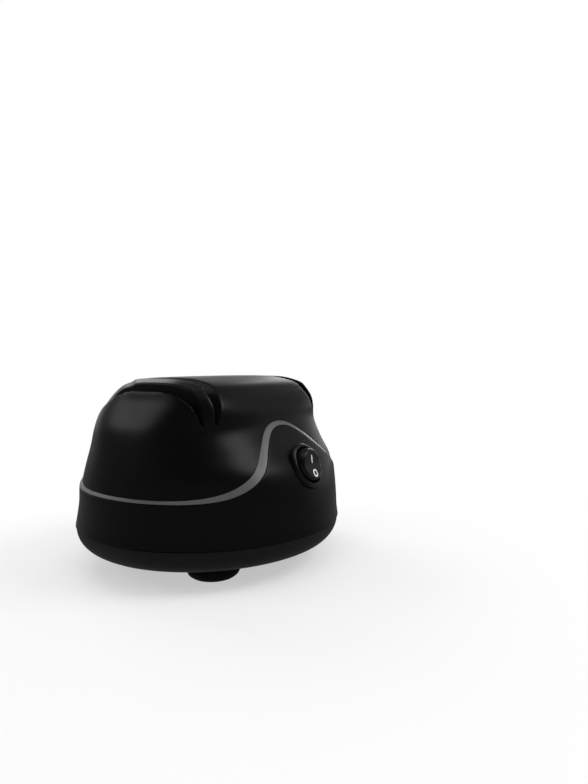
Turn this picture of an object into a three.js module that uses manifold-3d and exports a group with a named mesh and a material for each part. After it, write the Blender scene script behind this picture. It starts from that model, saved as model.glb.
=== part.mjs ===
// Electric knife sharpener: a rounded moulded case with a grinding stage at each end of its top,
// a pair of leaning slots in each stage, a rocker switch in front, and a shaded-pole motor whose
// shaft carries the grinding discs of both stages.
// Millimetres. +Z is up, -Y is the switch side and X runs along the motor shaft. The origin is on
// the table, under the middle of the case.

import * as THREE from 'three';
import { mergeVertices } from 'three/addons/utils/BufferGeometryUtils.js';
import Module from 'manifold-3d';

const wasm = await Module();
wasm.setup();

// General fits
const clearance = 0.3;
const overrun = 4;
const roundSteps = 14;
const discSteps = 26;
const smallSteps = 10;
const ballRows = 12;

// Case
const caseHalfLength = 73.8;
const caseHalfDepth = 69.8;
const seamHeight = 21;
const caseTop = 99.9;
const wall = 2.4;
const lowerProud = 1.2;
const stepsAround = 48;
const outerRows = 15;
const innerRows = 6;
const lowerRows = 5;
const lowerInnerRows = 4;
const coreRows = 14;
const lastRow = 0.98;
const solveSteps = 30;
const seatRowStep = 0.01;

// Height above the seam, half length, half depth in front and half depth at the rear, from the
// seam to the crown, as shares of the case's height above the seam, half length and half depth
const caseRowShares = [
  [0, 1, 1, 1],
  [0.063, 0.989, 0.984, 0.982],
  [0.165, 0.977, 0.967, 0.958],
  [0.292, 0.965, 0.934, 0.925],
  [0.418, 0.943, 0.867, 0.875],
  [0.545, 0.92, 0.748, 0.81],
  [0.672, 0.891, 0.644, 0.735],
  [0.773, 0.848, 0.612, 0.655],
  [0.849, 0.814, 0.565, 0.572],
  [0.906, 0.798, 0.512, 0.493],
  [0.944, 0.792, 0.462, 0.422],
  [0.968, 0.753, 0.385, 0.361],
  [0.986, 0.72, 0.28, 0.302],
  [0.996, 0.515, 0.2, 0.136],
  [1, 0, 0, 0],
];

// Exponents of the plan's curve in front and at the rear for the same rows: 2 is an ellipse, and
// a larger one is squarer
const caseSquareness = [
  [1.96, 2.1],
  [2, 2.12],
  [2.08, 2.14],
  [2.21, 2.26],
  [2.51, 2.32],
  [2.73, 2.39],
  [3.21, 2.63],
  [4.16, 2.94],
  [5.57, 3.05],
  [6, 2.95],
  [6, 2.68],
  [6, 2.34],
  [5.93, 2.33],
  [3, 2.6],
  [2, 2],
];
const crownFallStartShare = 0.5;
const crownFallEndShare = 0.9;

// Wave line between the two halves of the case, and the trim band along it
const crownToCrest = 24.9;
const waveLow = 42.6;
const waveRise = caseTop - crownToCrest - waveLow;
const waveReach = 34.6;
const waveSharpness = 2.3;
const bandWidth = 1.4;
const bandCrestGrowth = 1.1;
const bandFlankGrowth = 3;

// Base cover and feet
const baseDepth = 13;
const baseTuck = 14;
const seamInset = 0.5;
const lipHeight = 3;
const lipThickness = 1.6;
const baseBends = 6;
const baseInnerBends = 3;
const baseFloor = seamHeight - baseDepth;
const baseInside = baseFloor + wall;
const footInsetX = 40.8;
const footInsetY = 42.8;
const footX = caseHalfLength - footInsetX;
const footY = caseHalfDepth - footInsetY;
const footRadius = 13.8;
const footPegRadius = 5;
const footBeadRadius = 6.2;
const footCupDepth = 2.2;
const footCupShare = 0.62;
const cupRoofShares = [0.6, 0.8];
// Outside of a foot from its tread up, as shares of its radius and height
const footShares = [[0.76, 0], [0.92, 0.2], [1, 0.48], [0.97, 0.76], [0.88, 1]];
const ventCount = 7;
const ventPitch = 7.5;
const ventWidth = 2.6;
const ventLength = 26;
const ventEndSteps = 1;

// Case screws and their bosses
const bossX = 18.5;
const bossInset = 28.8;
const bossY = caseHalfDepth - bossInset;
const bossRadius = 4;
const bossFoot = 24;
const crownToBoss = 11.9;
const bossTop = caseTop - crownToBoss;
const screwRadius = 1.8;
const screwHeadRadius = 3.6;
const screwHeadHeight = 2.4;
const screwHeadEdgeShare = 0.6;
const screwHeadTopShare = 0.8;
const screwHeadLevel = 15;
const screwBite = 15;
const screwSleeveWall = 1.7;

// Grinding stages
const stageInset = 24.6;
const stageX = caseHalfLength - stageInset;
const slotLean = 20;
const slotFloorHalfWidth = 3.5;
const ribHalfWidth = 2.7;
const troughWall = 2.2;
const troughFloor = 3;
const crownToShaft = 37.9;
const shaftHeight = caseTop - crownToShaft;
const shaftRadius = 3;
const shaftOverhang = 11.8;
const shaftEnd = stageX + shaftOverhang;
const discRadius = 22;
const slotReach = 7;
const slotFloor = shaftHeight + discRadius - slotReach;
const discFace = 2.5;
const discThickness = 1.6;
const discBossRadius = 9;
const discBossLength = 2.4;
const discRunning = 1.2;
const hubRadius = 5.2;
const hubCollarRadius = 8;
const hubCollarLength = 3.4;
const hubOverhang = 6;
const nutHalfWidth = 5;
const nutLength = 4;
const nutSides = 6;
const nutBoreSteps = 10;
const waveCount = 3;
const springSteps = 24;

// Motor
const stackShare = 0.2033;
const stackHalfThickness = stackShare * stageX;
const stackHalfWidth = 27;
const stackArchSteps = 7;
const boreRadius = 15.6;
const boreBridge = 4.4;
const airGap = 0.6;
const windowHalfWidth = 15;
const windowTop = shaftHeight - boreRadius - boreBridge;
const windowFloorShare = 0.6835;
const windowFloor = baseInside + windowFloorShare * (windowTop - baseInside);
const stackFootShare = 0.367;
const stackFoot = baseInside + stackFootShare * (windowTop - baseInside);
const windowCorner = 0.5;
const bobbinWall = 1.2;
const bobbinFlange = 1.5;
const bobbinCornerShare = 0.25;
const bobbinCornerSteps = 2;
const windingShare = 0.52;
const windingThickness = windingShare * (windowTop - windowFloor);
const bracketShare = 0.244;
const bracketReach = bracketShare * stageX;
const bracketThickness = 2.2;
const bracketHeight = 16;
const bracketFootWidth = 9;
const bracketArmRun = 6;
const bushRadius = 7;
const bushLength = 9;
const bushSeatWall = 2;
const motorScrewY = 21.3;
const washerThickness = 1;
const washerRadius = 6;
const fanRadius = 19;
const fanHubRadius = 6.5;
const fanShare = 0.574;
const fanDisc = 1.2;
const bladeCount = 9;
const bladeThickness = 1.3;
const saddleHalfLength = 7;
const saddleHalfWidth = 5;

// Switch
const crestToSwitch = 21.5;
const switchHeight = caseTop - crownToCrest - crestToSwitch;
const bezelRadius = 12.2;
const bezelProud = 2.2;
const seatDepth = 1.4;
const seatPad = 5;
const barrelRadius = 10.4;
const barrelLength = 13;
const rockerRadius = 9.1;
const rockerClearance = 0.5;
const rockerThrow = 20;
const rockerCrown = 1.2;
const rockerKeel = 3.6;
const rockerWellDepth = 7;
const terminalWidth = 6.3;
const terminalThickness = 0.8;
const terminalLength = 9;
const terminalSocket = 4;
const terminalOffset = 4.6;

// Cord inlet
const inletHeight = 36;
const inletBoreRadius = 3.7;
const inletNeckRadius = 6;
const inletFlangeRadius = 8.4;
const inletFlange = 1.7;
const inletRecess = 1.6;

// Materials
const finish = (color, roughness, metalness) =>
  new THREE.MeshStandardMaterial({ color, roughness, metalness });
const blackPlastic = () => finish(0x17181a, 0.42, 0);
const basePlastic = () => finish(0x222426, 0.55, 0);
const bandPlastic = () => finish(0x707274, 0.38, 0.3);
const rubber = () => finish(0x0d0d0e, 0.85, 0);
const switchPlastic = () => finish(0x121213, 0.35, 0);
const zincSteel = () => finish(0xa9acae, 0.4, 1);
const brightSteel = () => finish(0xc6c9cc, 0.25, 1);
const lamination = () => finish(0x6f7377, 0.5, 1);
const copper = () => finish(0x9a5224, 0.4, 0.8);
const bronze = () => finish(0x9a7440, 0.45, 0.9);
const bobbinNylon = () => finish(0xd8d3c4, 0.6, 0);
const fanNylon = () => finish(0x35383b, 0.6, 0);
const coarseGrit = () => finish(0x5b4a3c, 0.95, 0);
const fineGrit = () => finish(0xb9b4a8, 0.9, 0);

const group = new THREE.Group();

function place(name, geometry, material, parent = group) {
  const mesh = new THREE.Mesh(geometry, material);
  mesh.name = name;
  parent.add(mesh);
  return mesh;
}

// Merge shared corners and drop the flat triangles that a revolved profile leaves on its axis
function closed(geometry) {
  const bare = new THREE.BufferGeometry();
  bare.setAttribute('position', geometry.getAttribute('position').clone());
  if (geometry.getIndex()) bare.setIndex(geometry.getIndex().clone());
  const merged = mergeVertices(bare);
  const indices = merged.getIndex().array;
  const kept = [];
  for (let i = 0; i < indices.length; i += 3) {
    const [a, b, c] = [indices[i], indices[i + 1], indices[i + 2]];
    if (a !== b && b !== c && c !== a) kept.push(a, b, c);
  }
  merged.setIndex(kept);
  merged.computeVertexNormals();
  return merged;
}

function toSolid(geometry) {
  const merged = closed(geometry);
  const mesh = new wasm.Mesh({
    numProp: 3,
    vertProperties: new Float32Array(merged.getAttribute('position').array),
    triVerts: new Uint32Array(merged.getIndex().array),
  });
  return new wasm.Manifold(mesh);
}

function toGeometry(solid) {
  const mesh = solid.getMesh();
  const geometry = new THREE.BufferGeometry();
  geometry.setAttribute('position', new THREE.BufferAttribute(mesh.vertProperties, mesh.numProp));
  geometry.setIndex(new THREE.BufferAttribute(mesh.triVerts, 1));
  geometry.computeVertexNormals();
  return geometry;
}

// Revolve a profile of [radius, height] points about Z
function turned(points, steps = roundSteps) {
  const profile = points.map(([radius, height]) => new THREE.Vector2(radius, height));
  return closed(new THREE.LatheGeometry(profile, steps).rotateX(Math.PI / 2));
}

// The same about X, with each point [radius, place along X]
function turnedOnShaft(points, steps = roundSteps) {
  return turned(points, steps).rotateY(Math.PI / 2);
}

function rodAlongZ(radius, low, high, steps = roundSteps) {
  return turned([[0, low], [radius, low], [radius, high], [0, high]], steps);
}

function rodAlongX(radius, low, high, steps = roundSteps) {
  return rodAlongZ(radius, low, high, steps).rotateY(Math.PI / 2);
}

function ringOnShaft(bore, radius, low, high, steps = roundSteps) {
  const profile = [[bore, low], [radius, low], [radius, high], [bore, high], [bore, low]];
  return turnedOnShaft(profile, steps);
}

// Outline through [x, z] points, drawn across Y from low to high
function prismAlongY(points, low, high) {
  const shape = new THREE.Shape(points.map(([x, z]) => new THREE.Vector2(x, z)));
  const prism = new THREE.ExtrudeGeometry(shape, { depth: high - low, bevelEnabled: false });
  return prism.rotateX(Math.PI / 2).translate(0, high, 0);
}

// Turn an outline in [y, z] with its depth into one that is drawn along X
function alongX(geometry) {
  const turn = new THREE.Matrix4().makeBasis(
    new THREE.Vector3(0, 1, 0),
    new THREE.Vector3(0, 0, 1),
    new THREE.Vector3(1, 0, 0),
  );
  return geometry.applyMatrix4(turn);
}

function roundedOutline(halfWidth, low, high, radius, Kind = THREE.Shape) {
  const outline = new Kind();
  outline.moveTo(-halfWidth + radius, low);
  outline.lineTo(halfWidth - radius, low);
  outline.absarc(halfWidth - radius, low + radius, radius, -Math.PI / 2, 0);
  outline.absarc(halfWidth - radius, high - radius, radius, 0, Math.PI / 2);
  outline.absarc(-halfWidth + radius, high - radius, radius, Math.PI / 2, Math.PI);
  outline.absarc(-halfWidth + radius, low + radius, radius, Math.PI, 1.5 * Math.PI);
  return outline;
}

function circlePath(x, y, radius) {
  const path = new THREE.Path();
  path.absarc(x, y, radius, 0, 2 * Math.PI);
  return path;
}

function block(lowX, highX, lowY, highY, lowZ, highZ) {
  const box = new THREE.BoxGeometry(highX - lowX, highY - lowY, highZ - lowZ);
  return box.translate((lowX + highX) / 2, (lowY + highY) / 2, (lowZ + highZ) / 2);
}

// Form of the case: rows of a plan curve from the seam, row 0, to the crown, row 1
const sideCurve = new THREE.SplineCurve(caseRowShares.map(([height, halfLength]) =>
  new THREE.Vector2(height, halfLength)));
const frontCurve = new THREE.SplineCurve(caseRowShares.map(([, , front], row) =>
  new THREE.Vector2(front, caseSquareness[row][0])));
const rearCurve = new THREE.SplineCurve(caseRowShares.map(([, , , rear], row) =>
  new THREE.Vector2(rear, caseSquareness[row][1])));

// Point of the case at an angle round Z, moved out in plan by offset and down at the crown by fall
function casePoint(angle, row, offset, fall) {
  const side = sideCurve.getPoint(row);
  const end = (Math.sin(angle) < 0 ? frontCurve : rearCurve).getPoint(row);
  const halfLength = Math.max(side.y * caseHalfLength + offset, clearance);
  const halfDepth = Math.max(end.x * caseHalfDepth + offset, clearance);
  const power = end.y;
  const across = Math.abs(Math.cos(angle) / halfLength) ** power;
  const through = Math.abs(Math.sin(angle) / halfDepth) ** power;
  const reach = (across + through) ** (-1 / power);
  const drop = fall * THREE.MathUtils.smoothstep(row, crownFallStartShare, crownFallEndShare);
  const height = seamHeight + side.x * (caseTop - seamHeight) - drop;
  return new THREE.Vector3(reach * Math.cos(angle), reach * Math.sin(angle), height);
}

function crownPole(fall) {
  return new THREE.Vector3(0, 0, caseTop - fall);
}

// Row at which a function that rises with the row passes zero
function solveRow(value) {
  let [low, high] = [0, lastRow];
  for (let step = 0; step < solveSteps; step += 1) {
    const middle = (low + high) / 2;
    if (value(middle) < 0) low = middle;
    else high = middle;
  }
  return (low + high) / 2;
}

function rowAtHeight(height, fall) {
  return solveRow((row) => casePoint(0, row, 0, fall).z - height);
}

// Edges of the trim band: the wave line, moved by half the band's width each way
const bandEdge = (side) => ({
  low: waveLow + (side * bandWidth) / 2,
  rise: waveRise + (side * bandCrestGrowth) / 2,
  reach: waveReach + (side * bandFlankGrowth) / 2,
});
const bandTop = bandEdge(1);
const bandFoot = bandEdge(-1);

function waveHeight(x, edge) {
  return edge.low + edge.rise * Math.exp(-((Math.abs(x) / edge.reach) ** waveSharpness));
}

// Row at which the case meets an edge of the band, moved up by shift
function edgeRow(angle, offset, edge, shift) {
  return solveRow((row) => {
    const point = casePoint(angle, row, offset, 0);
    return point.z - waveHeight(point.x, edge) - shift;
  });
}

function anglesAround(steps = stepsAround) {
  return Array.from({ length: steps }, (_, step) => (2 * Math.PI * step) / steps);
}

function rowsBetween(first, last, count) {
  return Array.from({ length: count + 1 }, (_, step) => first + ((last - first) * step) / count);
}

// Skin over profiles that stand round Z. A ring's profiles close on themselves, and otherwise
// their first and last points are poles on the axis. The outside lies to the right of a profile
// that runs down.
function skin(profiles, ring) {
  const around = profiles.length;
  const rows = ring ? profiles[0].length : profiles[0].length - 2;
  const positions = [];
  const triangles = [];
  for (const profile of profiles) {
    const points = ring ? profile : profile.slice(1, -1);
    for (const point of points) positions.push(point.x, point.y, point.z);
  }
  const spans = ring ? rows : rows - 1;
  for (let i = 0; i < around; i += 1) {
    const next = (i + 1) % around;
    for (let j = 0; j < spans; j += 1) {
      const below = (j + 1) % rows;
      const [a, b] = [i * rows + j, i * rows + below];
      const [c, d] = [next * rows + below, next * rows + j];
      triangles.push(a, b, c, a, c, d);
    }
  }
  if (!ring) {
    const first = profiles[0][0];
    const last = profiles[0][profiles[0].length - 1];
    positions.push(first.x, first.y, first.z, last.x, last.y, last.z);
    const top = around * rows;
    for (let i = 0; i < around; i += 1) {
      const next = (i + 1) % around;
      triangles.push(top, i * rows, next * rows);
      triangles.push(top + 1, next * rows + rows - 1, i * rows + rows - 1);
    }
  }
  const geometry = new THREE.BufferGeometry();
  geometry.setAttribute('position', new THREE.Float32BufferAttribute(positions, 3));
  geometry.setIndex(triangles);
  geometry.computeVertexNormals();
  return geometry;
}

// The case as one filled solid, moved in by inset, from which its fittings take their outer ends
function filledCase(inset, seamOffset) {
  const profiles = anglesAround().map((angle) => {
    const rows = rowsBetween(1, 0, coreRows).slice(1);
    const points = rows.map((row) => casePoint(angle, row, seamOffset - inset, inset));
    return [crownPole(inset), ...points, new THREE.Vector3(0, 0, seamHeight)];
  });
  return toSolid(skin(profiles, false));
}

const leanRun = Math.tan(THREE.MathUtils.degToRad(slotLean));

// Section of one stage's trough in [x, z]: the two leaning slots with the wall round them
function troughOutline(side) {
  const top = caseTop + overrun;
  const floor = slotFloor - troughFloor;
  const foot = slotFloorHalfWidth + troughWall;
  const head = foot + (top - floor) * leanRun;
  return [
    [side * stageX - foot, floor],
    [side * stageX + foot, floor],
    [side * stageX + head, top],
    [side * stageX - head, top],
  ];
}

function slotOutline(side, lean) {
  const top = caseTop + 2 * overrun;
  const head = slotFloorHalfWidth + (top - slotFloor) * leanRun;
  const points = [
    [side * stageX + lean * ribHalfWidth, slotFloor],
    [side * stageX + lean * slotFloorHalfWidth, slotFloor],
    [side * stageX + lean * head, top],
    [side * stageX + lean * ribHalfWidth, top],
  ];
  return lean > 0 ? points : points.reverse();
}

const sides = [-1, 1];
const corners = [[-1, -1], [1, -1], [-1, 1], [1, 1]];

function upperHousing() {
  const profiles = anglesAround().map((angle) => {
    const edge = edgeRow(angle, 0, bandTop, clearance / 2);
    const rim = casePoint(angle, edge, 0, 0);
    const outer = rowsBetween(1, edge, outerRows).slice(1);
    const inner = rowsBetween(rowAtHeight(rim.z, wall), 1, innerRows).slice(0, -1);
    return [
      crownPole(0),
      ...outer.map((row) => casePoint(angle, row, 0, 0)),
      ...inner.map((row) => casePoint(angle, row, -wall, wall)),
      crownPole(wall),
    ];
  });
  const core = filledCase(wall / 2, 0);
  let housing = toSolid(skin(profiles, false));
  for (const side of sides) {
    const trough = toSolid(prismAlongY(troughOutline(side), -caseHalfDepth, caseHalfDepth));
    housing = housing.add(trough.intersect(core));
  }
  for (const [x, y] of corners) {
    const boss = rodAlongZ(bossRadius, bossFoot, bossTop).translate(x * bossX, y * bossY, 0);
    housing = housing.add(toSolid(boss).intersect(core));
  }
  for (const [x, y] of corners) {
    const pilotTop = bossFoot + screwBite + clearance;
    const pilot = rodAlongZ(screwRadius + clearance, bossFoot - overrun, pilotTop, smallSteps);
    housing = housing.subtract(toSolid(pilot.translate(x * bossX, y * bossY, 0)));
  }
  for (const side of sides) {
    for (const lean of sides) {
      const slot = prismAlongY(slotOutline(side, lean), -caseHalfDepth, caseHalfDepth);
      housing = housing.subtract(toSolid(slot));
    }
    const halfWidth = discFace + clearance;
    const pocket = rodAlongX(discRadius + discRunning, -halfWidth, halfWidth, discSteps);
    housing = housing.subtract(toSolid(pocket.translate(side * stageX, 0, shaftHeight)));
  }
  return toGeometry(housing);
}

// Trim band: its visible face slopes from the proud lower half in to the upper half
function accentBand() {
  const profiles = anglesAround().map((angle) => {
    const foot = edgeRow(angle, lowerProud, bandFoot, clearance / 2);
    const head = edgeRow(angle, 0, bandTop, -clearance / 2);
    const footHeight = casePoint(angle, foot, lowerProud, 0).z;
    const headHeight = casePoint(angle, head, 0, 0).z;
    return [
      casePoint(angle, head, 0, 0),
      casePoint(angle, foot, lowerProud, 0),
      casePoint(angle, rowAtHeight(footHeight, 0), -wall, 0),
      casePoint(angle, rowAtHeight(headHeight, 0), -wall, 0),
    ];
  });
  return skin(profiles, true);
}

// Frame of a seat that is square to the outside of the lower half: its centre and its lean
function seatFrame(angle, height) {
  const row = rowAtHeight(height, 0);
  const centre = casePoint(angle, row, lowerProud, 0);
  const above = casePoint(angle, row + seatRowStep, lowerProud, 0);
  const below = casePoint(angle, row - seatRowStep, lowerProud, 0);
  const lean = Math.atan2(Math.abs(below.y) - Math.abs(above.y), above.z - below.z);
  return { centre, lean };
}

const switchSeat = seatFrame(-Math.PI / 2, switchHeight);
const switchTurn = Math.PI / 2 - switchSeat.lean;
const toSwitch = (geometry) =>
  geometry.rotateX(switchTurn).translate(0, switchSeat.centre.y, switchSeat.centre.z);

const inletSeat = seatFrame(Math.PI / 2, inletHeight);
const toInlet = (geometry) =>
  geometry.rotateX(-Math.PI / 2).translate(0, inletSeat.centre.y, inletHeight);

function lowerHousing() {
  const profiles = anglesAround().map((angle) => {
    const edge = edgeRow(angle, lowerProud, bandFoot, -clearance / 2);
    const rim = casePoint(angle, edge, lowerProud, 0);
    const foot = rowAtHeight(seamHeight + clearance / 2, 0);
    const outer = rowsBetween(edge, foot, lowerRows);
    const inner = rowsBetween(foot, rowAtHeight(rim.z, 0), lowerInnerRows);
    return [
      ...outer.map((row) => casePoint(angle, row, lowerProud, 0)),
      ...inner.map((row) => casePoint(angle, row, lowerProud - wall, 0)),
    ];
  });
  const core = filledCase(wall / 2, lowerProud);
  let housing = toSolid(skin(profiles, true));
  const switchPad = toSwitch(rodAlongZ(bezelRadius + wall, -seatPad, overrun));
  const inletPad = toInlet(rodAlongZ(inletFlangeRadius + wall, -seatPad, overrun));
  housing = housing.add(toSolid(switchPad).intersect(core));
  housing = housing.add(toSolid(inletPad).intersect(core));
  const holes = [
    toSwitch(rodAlongZ(bezelRadius + clearance, -seatDepth, overrun, discSteps)),
    toSwitch(rodAlongZ(barrelRadius + clearance, -barrelLength, overrun, discSteps)),
    toInlet(rodAlongZ(inletFlangeRadius + clearance, -inletRecess, overrun)),
    toInlet(rodAlongZ(inletNeckRadius + clearance, -barrelLength, overrun)),
  ];
  for (const hole of holes) housing = housing.subtract(toSolid(hole));
  return toGeometry(housing);
}

function baseCover() {
  const seamTop = seamHeight - clearance / 2;
  const outside = lowerProud - seamInset;
  const lipOutside = lowerProud - wall - clearance;
  const lipTop = seamHeight + lipHeight;
  const lipRow = rowAtHeight(lipTop, 0);
  const at = (angle, offset, height) => casePoint(angle, 0, offset, 0).setZ(height);
  const profiles = anglesAround().map((angle) => {
    const outer = rowsBetween(0, Math.PI / 2, baseBends).map((turn) =>
      at(
        angle,
        outside - baseTuck * (1 - Math.cos(turn)),
        seamTop - (seamTop - baseFloor) * Math.sin(turn),
      ));
    const inner = rowsBetween(Math.PI / 2, 0, baseInnerBends).map((turn) =>
      at(
        angle,
        lipOutside - clearance - lipThickness - (baseTuck - wall) * (1 - Math.cos(turn)),
        seamTop - (seamTop - baseInside) * Math.sin(turn),
      ));
    return [
      new THREE.Vector3(0, 0, baseInside),
      ...inner,
      casePoint(angle, lipRow, lipOutside - lipThickness - clearance, 0),
      casePoint(angle, lipRow, lipOutside - clearance, 0),
      at(angle, lipOutside - clearance, seamTop),
      ...outer,
      new THREE.Vector3(0, 0, baseFloor),
    ];
  });
  let cover = toSolid(skin(profiles, false));
  const sleeveRadius = screwHeadRadius + clearance + screwSleeveWall;
  for (const [x, y] of corners) {
    const sleeve = rodAlongZ(sleeveRadius, baseFloor + wall / 2, bossFoot - clearance, smallSteps);
    const saddle = block(
      -saddleHalfLength, saddleHalfLength, -saddleHalfWidth, saddleHalfWidth,
      baseFloor + wall / 2, stackFoot - clearance,
    );
    cover = cover.add(toSolid(sleeve.translate(x * bossX, y * bossY, 0)));
    if (x > 0) cover = cover.add(toSolid(saddle.translate(0, y * motorScrewY, 0)));
  }
  for (const [x, y] of corners) {
    const pocketRadius = screwHeadRadius + clearance;
    const pocketTop = screwHeadLevel + clearance;
    const headPocket = rodAlongZ(pocketRadius, baseFloor - overrun, pocketTop, smallSteps);
    const shankRadius = screwRadius + clearance;
    const shankHole = rodAlongZ(shankRadius, screwHeadLevel, bossFoot + overrun, smallSteps);
    const pegRadius = footPegRadius + clearance;
    const pegHole = rodAlongZ(pegRadius, baseFloor - overrun, baseInside + overrun);
    cover = cover.subtract(toSolid(headPocket.translate(x * bossX, y * bossY, 0)));
    cover = cover.subtract(toSolid(shankHole.translate(x * bossX, y * bossY, 0)));
    cover = cover.subtract(toSolid(pegHole.translate(x * footX, y * footY, 0)));
  }
  for (let vent = 0; vent < ventCount; vent += 1) {
    const x = (vent - (ventCount - 1) / 2) * ventPitch;
    const outline = roundedOutline(ventWidth / 2, -ventLength / 2, ventLength / 2, ventWidth / 2);
    const slot = new THREE.ExtrudeGeometry(outline, {
      depth: wall + 2 * overrun,
      bevelEnabled: false,
      curveSegments: ventEndSteps,
    });
    cover = cover.subtract(toSolid(slot.translate(x, 0, baseFloor - overrun)));
  }
  return toGeometry(cover);
}

// Suction foot with its cup below, and a peg and bead that snap through the base cover
function suctionFoot() {
  const under = baseFloor - clearance;
  const cupRadius = footCupShare * footRadius;
  const [roofShare, depthShare] = cupRoofShares;
  const profile = [
    [0, footCupDepth],
    [roofShare * cupRadius, depthShare * footCupDepth],
    [cupRadius, 0],
    ...footShares.map(([reach, height]) => [reach * footRadius, height * under]),
    [footPegRadius, under],
    [footPegRadius, baseInside + clearance],
    [footBeadRadius, baseInside + clearance],
    [footPegRadius, baseInside + clearance + wall],
    [0, baseInside + clearance + wall],
  ];
  return turned(profile);
}

function caseScrew() {
  const shankTop = bossFoot + screwBite;
  return turned([
    [0, screwHeadLevel - screwHeadHeight],
    [screwHeadTopShare * screwHeadRadius, screwHeadLevel - screwHeadHeight],
    [screwHeadRadius, screwHeadLevel - screwHeadEdgeShare * screwHeadHeight],
    [screwHeadRadius, screwHeadLevel],
    [screwRadius, screwHeadLevel],
    [screwRadius, shankTop - screwRadius],
    [0, shankTop],
  ], smallSteps);
}

place('upper_housing', upperHousing(), blackPlastic());
place('accent_band', accentBand(), bandPlastic());
place('lower_housing', lowerHousing(), blackPlastic());
place('base_cover', baseCover(), basePlastic());
const cornerNames = ['front_left', 'front_right', 'rear_left', 'rear_right'];
corners.forEach(([x, y], index) => {
  const foot = place(`foot_${cornerNames[index]}`, suctionFoot(), rubber());
  foot.position.set(x * footX, y * footY, 0);
  const screw = place(`case_screw_${cornerNames[index]}`, caseScrew(), zincSteel());
  screw.position.set(x * bossX, y * bossY, 0);
});

// Cord inlet bushing in the rear of the lower half, with its bore left open
function cordInlet() {
  const face = inletFlange - inletRecess + clearance;
  const back = face - inletFlange;
  const neckEnd = -seatPad - clearance;
  const inner = neckEnd - inletFlange;
  const round = inletFlange / 2;
  return turned([
    [inletBoreRadius, inner],
    [inletNeckRadius, inner],
    [inletFlangeRadius, inner + round],
    [inletFlangeRadius, neckEnd],
    [inletNeckRadius, neckEnd],
    [inletNeckRadius, back],
    [inletFlangeRadius, back],
    [inletFlangeRadius, face - round],
    [inletNeckRadius + round, face],
    [inletBoreRadius, face],
    [inletBoreRadius, inner],
  ]);
}

const inletFrame = new THREE.Group();
inletFrame.position.set(0, inletSeat.centre.y, inletHeight);
inletFrame.rotation.x = -Math.PI / 2;
group.add(inletFrame);
place('cord_inlet_bushing', cordInlet(), rubber(), inletFrame);

// Switch, in its own frame: Z out of the case, Y up its face
const switchFrame = new THREE.Group();
switchFrame.position.set(0, switchSeat.centre.y, switchSeat.centre.z);
switchFrame.rotation.x = switchTurn;
group.add(switchFrame);

function switchBody() {
  const seat = -seatDepth + clearance;
  const round = bezelProud / 2;
  const well = rockerRadius + rockerClearance;
  const wellFloor = -rockerWellDepth;
  const body = toSolid(turned([
    [0, -barrelLength],
    [barrelRadius, -barrelLength],
    [barrelRadius, seat],
    [bezelRadius, seat],
    [bezelRadius, bezelProud - round],
    [bezelRadius - round, bezelProud],
    [well, bezelProud],
    [well, wellFloor],
    [0, wellFloor],
  ], discSteps));
  let drilled = body;
  for (const side of sides) {
    const socket = block(
      -terminalWidth / 2 - clearance, terminalWidth / 2 + clearance,
      side * terminalOffset - terminalThickness / 2 - clearance,
      side * terminalOffset + terminalThickness / 2 + clearance,
      -barrelLength - overrun, -barrelLength + terminalSocket + clearance,
    );
    drilled = drilled.subtract(toSolid(socket));
  }
  return toGeometry(drilled);
}

// Rocker: a ball-sided paddle with a hollow V face, so that one end stands out and one is in
function switchRocker() {
  const ball = toSolid(new THREE.SphereGeometry(rockerRadius, discSteps, ballRows));
  const rise = Math.tan(THREE.MathUtils.degToRad(rockerThrow / 2));
  const edge = rockerRadius + overrun;
  const outline = new THREE.Shape([
    new THREE.Vector2(-edge, -rockerKeel),
    new THREE.Vector2(edge, -rockerKeel),
    new THREE.Vector2(edge, rockerCrown + edge * rise),
    new THREE.Vector2(0, rockerCrown),
    new THREE.Vector2(-edge, rockerCrown + edge * rise),
  ]);
  const paddle = new THREE.ExtrudeGeometry(outline, { depth: 2 * edge, bevelEnabled: false });
  return toGeometry(ball.intersect(toSolid(alongX(paddle.translate(0, 0, -edge)))));
}

place('switch_body', switchBody(), switchPlastic(), switchFrame);
const rocker = place('switch_rocker', switchRocker(), switchPlastic(), switchFrame);
rocker.rotation.x = THREE.MathUtils.degToRad(rockerThrow / 2);
['lower', 'upper'].forEach((name, index) => {
  const low = -barrelLength + terminalSocket - terminalLength;
  const blade = block(
    -terminalWidth / 2, terminalWidth / 2,
    -terminalThickness / 2, terminalThickness / 2,
    low, -barrelLength + terminalSocket,
  );
  const terminal = place(`switch_terminal_${name}`, blade, brightSteel(), switchFrame);
  terminal.position.y = sides[index] * terminalOffset;
});

// Motor: an arched stack of laminations with the rotor bore above and the coil round its foot
function statorStack() {
  const outline = new THREE.Shape();
  outline.moveTo(-stackHalfWidth, stackFoot);
  outline.lineTo(stackHalfWidth, stackFoot);
  outline.lineTo(stackHalfWidth, shaftHeight);
  outline.absarc(0, shaftHeight, stackHalfWidth, 0, Math.PI);
  outline.closePath();
  outline.holes.push(circlePath(0, shaftHeight, boreRadius));
  const window = [windowHalfWidth, windowFloor, windowTop, windowCorner];
  outline.holes.push(roundedOutline(...window, THREE.Path));
  for (const side of sides) {
    outline.holes.push(circlePath(side * motorScrewY, shaftHeight, screwRadius + clearance));
  }
  const stack = new THREE.ExtrudeGeometry(outline, {
    depth: 2 * stackHalfThickness,
    bevelEnabled: false,
    curveSegments: stackArchSteps,
  });
  return closed(alongX(stack.translate(0, 0, -stackHalfThickness)));
}

const limbHalf = stackHalfThickness + clearance;
const limbLow = stackFoot - clearance;
const limbHigh = windowFloor + clearance;
const coilHalfLength = windowHalfWidth - clearance;

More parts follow.
